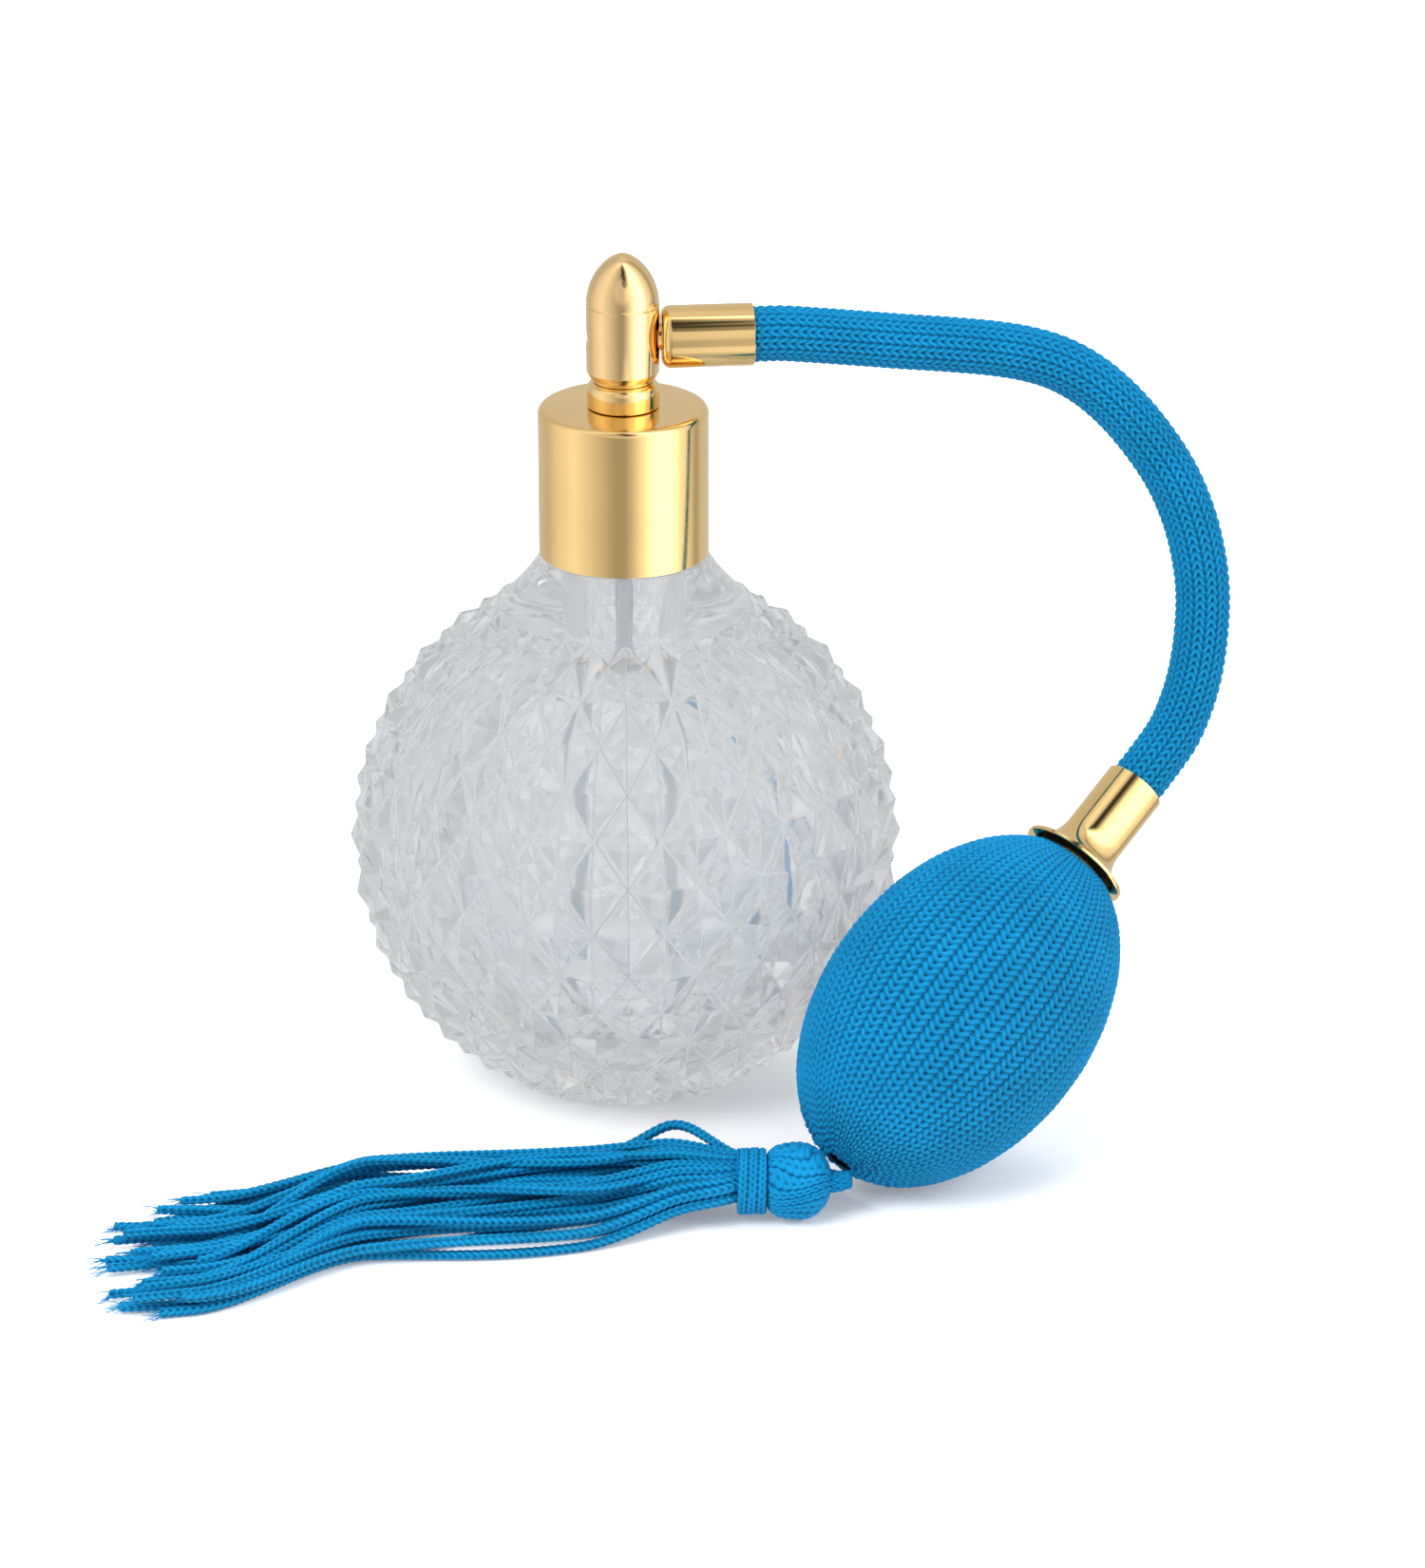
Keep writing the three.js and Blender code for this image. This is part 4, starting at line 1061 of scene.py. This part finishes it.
def hose():
    """The knitted sleeve, and the rubber tube in it."""
    wales, per_wale, per_course = 13, 12, 6
    rise, relief = 1.25, 0.6
    route, length = smooth_route(hose_points(), rise / per_course)
    ups, sides = frames_along(route)
    angles, across, wale = stitch_columns(wales, per_wale)
    along = np.arange(len(route))[:, None] / per_course + 0.18 * np.sin(wale * 2.1)
    width = math.tau * hose_radius / wales
    height, way = stitch(across, along, width, rise, 0.175 * width)
    outer = tube_grid(route, ups, sides, hose_radius - relief * (1 - height), angles)
    inner = tube_grid(route[::24], ups[::24], sides[::24], hose_radius - relief - 0.15, angles)
    sleeve = knit_object("knitted_hose", outer, inner, height, way, net_yarn)
    stand_for(sleeve, "head", "hose_sleeve")
    fewer = around(24)
    tube = [tube_grid(route[::12], ups[::12], sides[::12], radius, fewer) for radius in tube_radii]
    core = knit_object("rubber_hose", tube[0], tube[1], tube[0][..., 0], tube[0][..., 1], black_rubber)
    stand_for(core, "head", "hose_tube")


hose()


# Tassel

ball_distance, ball_half, ball_radius = 7.3, 4.65, 5.5
ground_gap = 0.1
ball_height = ball_radius + ground_gap
ball_start = ball_distance - ball_half
ball_end = ball_distance + ball_half - 0.5
band_start = ball_end + 0.3
band_length, band_radius = 4.1, 4.75
band_end = band_start + band_length
root_end = band_end + 0.3
strand_radius = 0.75
strand_columns = [4, 5, 5, 5, 4, 4, 3, 3, 2]
strand_length, strand_raggedness = 73, 15
skirt_half_width, skirt_end_spread = 10.8, 6
skirt_shift, skirt_lean, skirt_end_drift = -3.4, 0.165, 5.8
loop_strand = 3
tassel_turn = Matrix.Rotation(math.radians(tassel_heading), 4, "Z")
tassel_place = Matrix.Translation((knot.x, knot.y, 0)) @ tassel_turn


def yarn_object(name, points, faces):
    """A piece of the tassel, from points in the tassel's own frame."""
    return make_object(name, carried(points, tassel_place), faces, cord_yarn)


def closed_yarn(name, points, height, fibre, node):
    """A piece of the tassel from one grid of points that is closed at both ends."""
    rows, columns = points.shape[:2]
    faces = grid_faces(rows, columns) + end_caps(rows, columns)
    piece = make_outward(yarn_object(name, points.reshape(-1, 3), faces))
    add_yarn_values(piece, *(np.broadcast_to(value, (rows, columns)) for value in (height, fibre)))
    stand_for(piece, "tassel", node)


def between_cords(place):
    """How far across its cord each place is, from -0.5 to 0.5, with one cord to each whole number."""
    return place - np.floor(place) - 0.5


def fluted(across, power):
    """How high round cords side by side stand, across each of them from -0.5 to 0.5."""
    return np.sqrt(1 - np.clip(np.abs(across) * 2, 0, 1) ** power)


def scatter(index, salt):
    """A number from 0 to 1 that differs from strand to strand and stays the same each run."""
    value = math.sin(index * 12.9898 + salt * 78.233) * 43758.5453
    return value - math.floor(value)


def ease(value):
    share = np.clip(value, 0, 1)
    return share * share * (3 - 2 * share)


def strand_line(index, column, level, in_column, past):
    """Centre line of a strand, at distances past the band. The cords cross each other a little."""
    side = (column + 0.5) / len(strand_columns) * 2 - 1
    rank = (index + 0.5) / sum(strand_columns) * 2 - 1
    spread = skirt_half_width * (0.32 + 0.68 * (1 - np.exp(-past / 9)))
    settle = ease((past - 50) / 24)
    loose = ease(past / 20)
    turn = math.tau
    wave = 0.35 * np.sin(past / 6 + scatter(index, 1) * turn) * loose
    cross = 1.7 * np.sin(past / (8 + 8 * scatter(index, 5)) + scatter(index, 4) * turn) * loose
    bulge = np.exp(-(((past - 8) / 6) ** 2)) if index == loop_strand else 0 * past
    middle = skirt_shift * ease(past / 10) + skirt_lean * past + skirt_end_drift * settle
    y = middle + side * spread * (1 - settle) + rank * (spread + skirt_end_spread) * settle
    y = y + wave + cross * (1 - 0.4 * settle) - 3.4 * bulge
    bundled = ball_height + (level - (in_column - 1) / 2) * 1.45
    stacked = strand_radius + ground_gap + level * 1.6
    flat = strand_radius + ground_gap + (level % 2) * 1.65
    z = bundled + (stacked - bundled) * ease(past / 22)
    z = z + (flat - z) * settle
    lift = 0.45 * (1 + np.sin(past / (7 + 5 * scatter(index, 6)) + scatter(index, 7) * turn)) * loose
    return np.stack([root_end + past, y, z + lift * (level > 0) + 1.6 * bulge], 1)


def frayed_fibres(end, heading, index, start):
    """Loose fibres that stand out of a cord's cut end."""
    points, faces = [], []
    corners, steps = 4, 4
    for fibre in range(9):
        chance = [scatter(index, 20 + fibre * 3 + salt) for salt in range(6)]
        turned = heading + np.array([0, 1.1 * (chance[0] - 0.5), 0.7 * (chance[1] - 0.6)])
        turned /= np.linalg.norm(turned)
        length = 1.2 + 2.6 * chance[2]
        begin = end + 0.5 * (np.array([0, chance[4], chance[5]]) - 0.5) - heading * 0.6
        for share in np.linspace(0, 1, steps):
            middle = begin + turned * length * share - np.array([0, 0, 0.5 * share ** 2])
            middle[2] = max(middle[2], 0.2)
            thick = 0.11 * (1 - 0.6 * share)
            for angle in around(corners):
                points.append(middle + thick * np.array([0, math.cos(angle), math.sin(angle)]))
        first = start + fibre * steps * corners
        faces += grid_faces(steps, corners, first) + end_caps(steps, corners, first)
    return np.array(points), faces


def strand(index, column, level, in_column, start):
    """A chain-knit cord with its frayed end: its points, depths, fibre places and faces."""
    rise, per_course, corners, root = 1.05, 6, 16, 3.5
    length = strand_length + strand_raggedness * scatter(index, 2)
    past = np.linspace(-root, length - 1, 260)
    line = strand_line(index, column, level, in_column, np.clip(past, 0, None))
    line[:, 0] = root_end + past
    pull = np.clip(-past / root, 0, 1)[:, None]
    line[:, 1:] = line[:, 1:] + (np.array([0, ball_height]) - line[:, 1:]) * 0.12 * pull
    rows = round(line_lengths(line)[-1] / rise * per_course) + 1
    route, station = even_points(line, rows)
    station = station[:, None]
    roll = scatter(index, 3) * 6.28 + station * (0.12 * (scatter(index, 8) - 0.5))
    angles = around(corners)
    across = between_cords((angles + roll) / math.pi)
    height, fibre = stitch(across, station / rise, math.pi * strand_radius, rise, 0.36)
    thick = strand_radius * (0.92 + 0.16 * scatter(index, 9))
    radius = thick - 0.26 * (1 - height)
    radius[0] = radius[-1] = 0.25
    grid = tube_grid(route, *frames_along(route), radius, angles).reshape(-1, 3)
    faces = grid_faces(rows, corners, start) + end_caps(rows, corners, start)
    heading = (route[-1] - route[-5]) / np.linalg.norm(route[-1] - route[-5])
    loose, loose_faces = frayed_fibres(route[-1], heading, index, start + len(grid))
    depth = np.append(height, np.full(len(loose), 0.8))
    return np.concatenate([grid, loose]), depth, np.append(fibre, loose[:, 0]), faces + loose_faces


def skirt():
    """All the cords, column by column, as one bundle."""
    made, faces, start = [], [], 0
    for column, in_column in enumerate(strand_columns):
        for level in range(in_column):
            *values, strand_faces = strand(len(made), column, level, in_column, start)
            made.append(values)
            faces += strand_faces
            start += len(values[0])
    points, depth, fibre = (np.concatenate(values) for values in zip(*made))
    piece = yarn_object("tassel_cords", points, faces)
    add_yarn_values(piece, depth, fibre)
    stand_for(piece, "tassel", "tassel_skirt")


def turned_yarn(name, profile, fold, node, columns=240):
    """A piece of wound or gathered yarn, turned round the tassel's axis. fold gives how high the
    yarn stands at an angle and a distance, and the fibre's place."""
    full, x = np.array(profile, float).T[..., None]
    angle = around(columns)
    height, fibre, relief = fold(angle, x)
    radius = np.maximum(full - relief * (1 - height), 0.05)
    across, up = radius * np.cos(angle), ball_height + radius * np.sin(angle)
    points = np.stack([np.broadcast_to(x, radius.shape), across, up], -1)
    closed_yarn(name, points, height, fibre, node)


def tassel_ball():
    """The tassel's head: cords folded over, side by side, and gathered in where the strap comes out."""
    profile = []
    for turn in np.linspace(-math.pi / 2, math.pi / 2, 150)[:-1]:
        fullness = 0.9 if turn < 0 else 0.34
        radius = ball_radius * max(0.0, math.cos(turn)) ** fullness
        x = ball_distance + ball_half * math.sin(turn)
        if x < band_start - 0.05:
            profile.append((radius, x))
    cords, rise = 15, 1.1

    def fold(angle, x):
        sway = 0.2 * np.sin((x - ball_distance) * 0.5 + 2 * np.sin(angle * 2))
        place = (angle + sway + 0.1 * np.sin(angle * 3)) * cords / math.tau
        across = between_cords(place)
        share = np.clip(1 - ((x - ball_distance) / (ball_half * 1.05)) ** 2, 0.02, 1)
        width = math.tau * ball_radius * np.sqrt(share) / cords
        along = x / rise + 0.4 * np.sin(np.floor(place) * 2.3)
        knit, way = stitch(across, along, width, rise, 0.3 * width)
        # the creases deepen where the cords are gathered towards the strap, and their painted shade darkens
        # with them
        crease = 0.35 + 0.35 * np.clip((ball_distance - x) / ball_half, 0, 1) ** 2
        return np.clip(1 - crease * (1 - fluted(across, 4)) - 0.62 * (1 - knit), 0, 1), way, 0.8

    turned_yarn("tassel_head", profile, fold, "tassel_ball", 364)


def tassel_band():
    """A cord wound round the tassel three times, one turn beside the other."""
    turns, rise, edge, inside = 3, 0.95, 0.35, band_radius - 0.8
    profile = [(inside, band_start)]
    for x in np.linspace(band_start, band_end, 90):
        inset = max(0.0, 1 - min(x - band_start, band_end - x) / edge)
        profile.append((band_radius - 0.3 * inset ** 2, x))
    profile.append((inside, band_end))
    width = band_length / turns

    def fold(angle, x):
        across = between_cords((x - band_start) / band_length * turns + angle / math.tau)
        knit, way = stitch(across, angle * band_radius / rise, width, rise, 0.27 * width)
        swell = 0.92 + 0.08 * np.sin(angle * 3 + x * 2)
        return (0.35 * fluted(across, 3) + 0.65 * knit) * swell, way, 0.6

    turned_yarn("wound_band", profile, fold, "tassel_band")


def strap():
    """A flat bundle of twisted yarn from under the bulb's tail to the tassel's head."""
    route = np.array([
        (-0.2, 0, knot.z + 0.5),
        (ball_start * 0.4, 0, knot.z + 0.3),
        (ball_start * 0.7, 0, knot.z + 0.2),
        (ball_start + 0.5, 0, ball_height),
    ])
    line, length = smooth_route(route, 0.08)
    ups, sides = frames_along(line)
    angles = around(120)
    share = np.linspace(0, 1, len(line))[:, None]
    across = between_cords((angles * 5 + share * 4) / math.pi)
    knit, way = stitch(across, share * length, 1.0, 1.0, 0.27)
    height = 0.3 * fluted(across, 3) + 0.7 * knit
    end = np.sqrt(np.clip(share / 0.08, 0, 1))
    shrink = (0.7 + 0.3 * height) * (0.35 + 0.65 * end)
    wide = (1.5 + share) * shrink
    thick = (1.1 + 0.5 * share) * shrink
    points = line[:, None] + sides[:, None] * (np.cos(angles) * wide)[..., None]
    points = points + ups[:, None] * (np.sin(angles) * thick)[..., None]
    closed_yarn("twisted_strap", points, height, way, "tassel_strap")


skirt()
tassel_ball()
tassel_band()
strap()


# CAD nodes that stay
kept = {
    white_plastic: ["atomiser_stem", "outlet_valve_body", "bulb_nipple"],
    steel: ["head_snap_ring", "outlet_valve_ball", "inlet_valve_ball", "inlet_valve_retainer"],
    black_rubber: ["inlet_valve_body"],
    polished_gold: ["air_nipple"],
}
for material, names in kept.items():
    for name in names:
        data = frame["nodes"][name].data
        data.materials.clear()
        data.materials.append(material)

bpy.context.scene.view_settings.view_transform = "Standard"
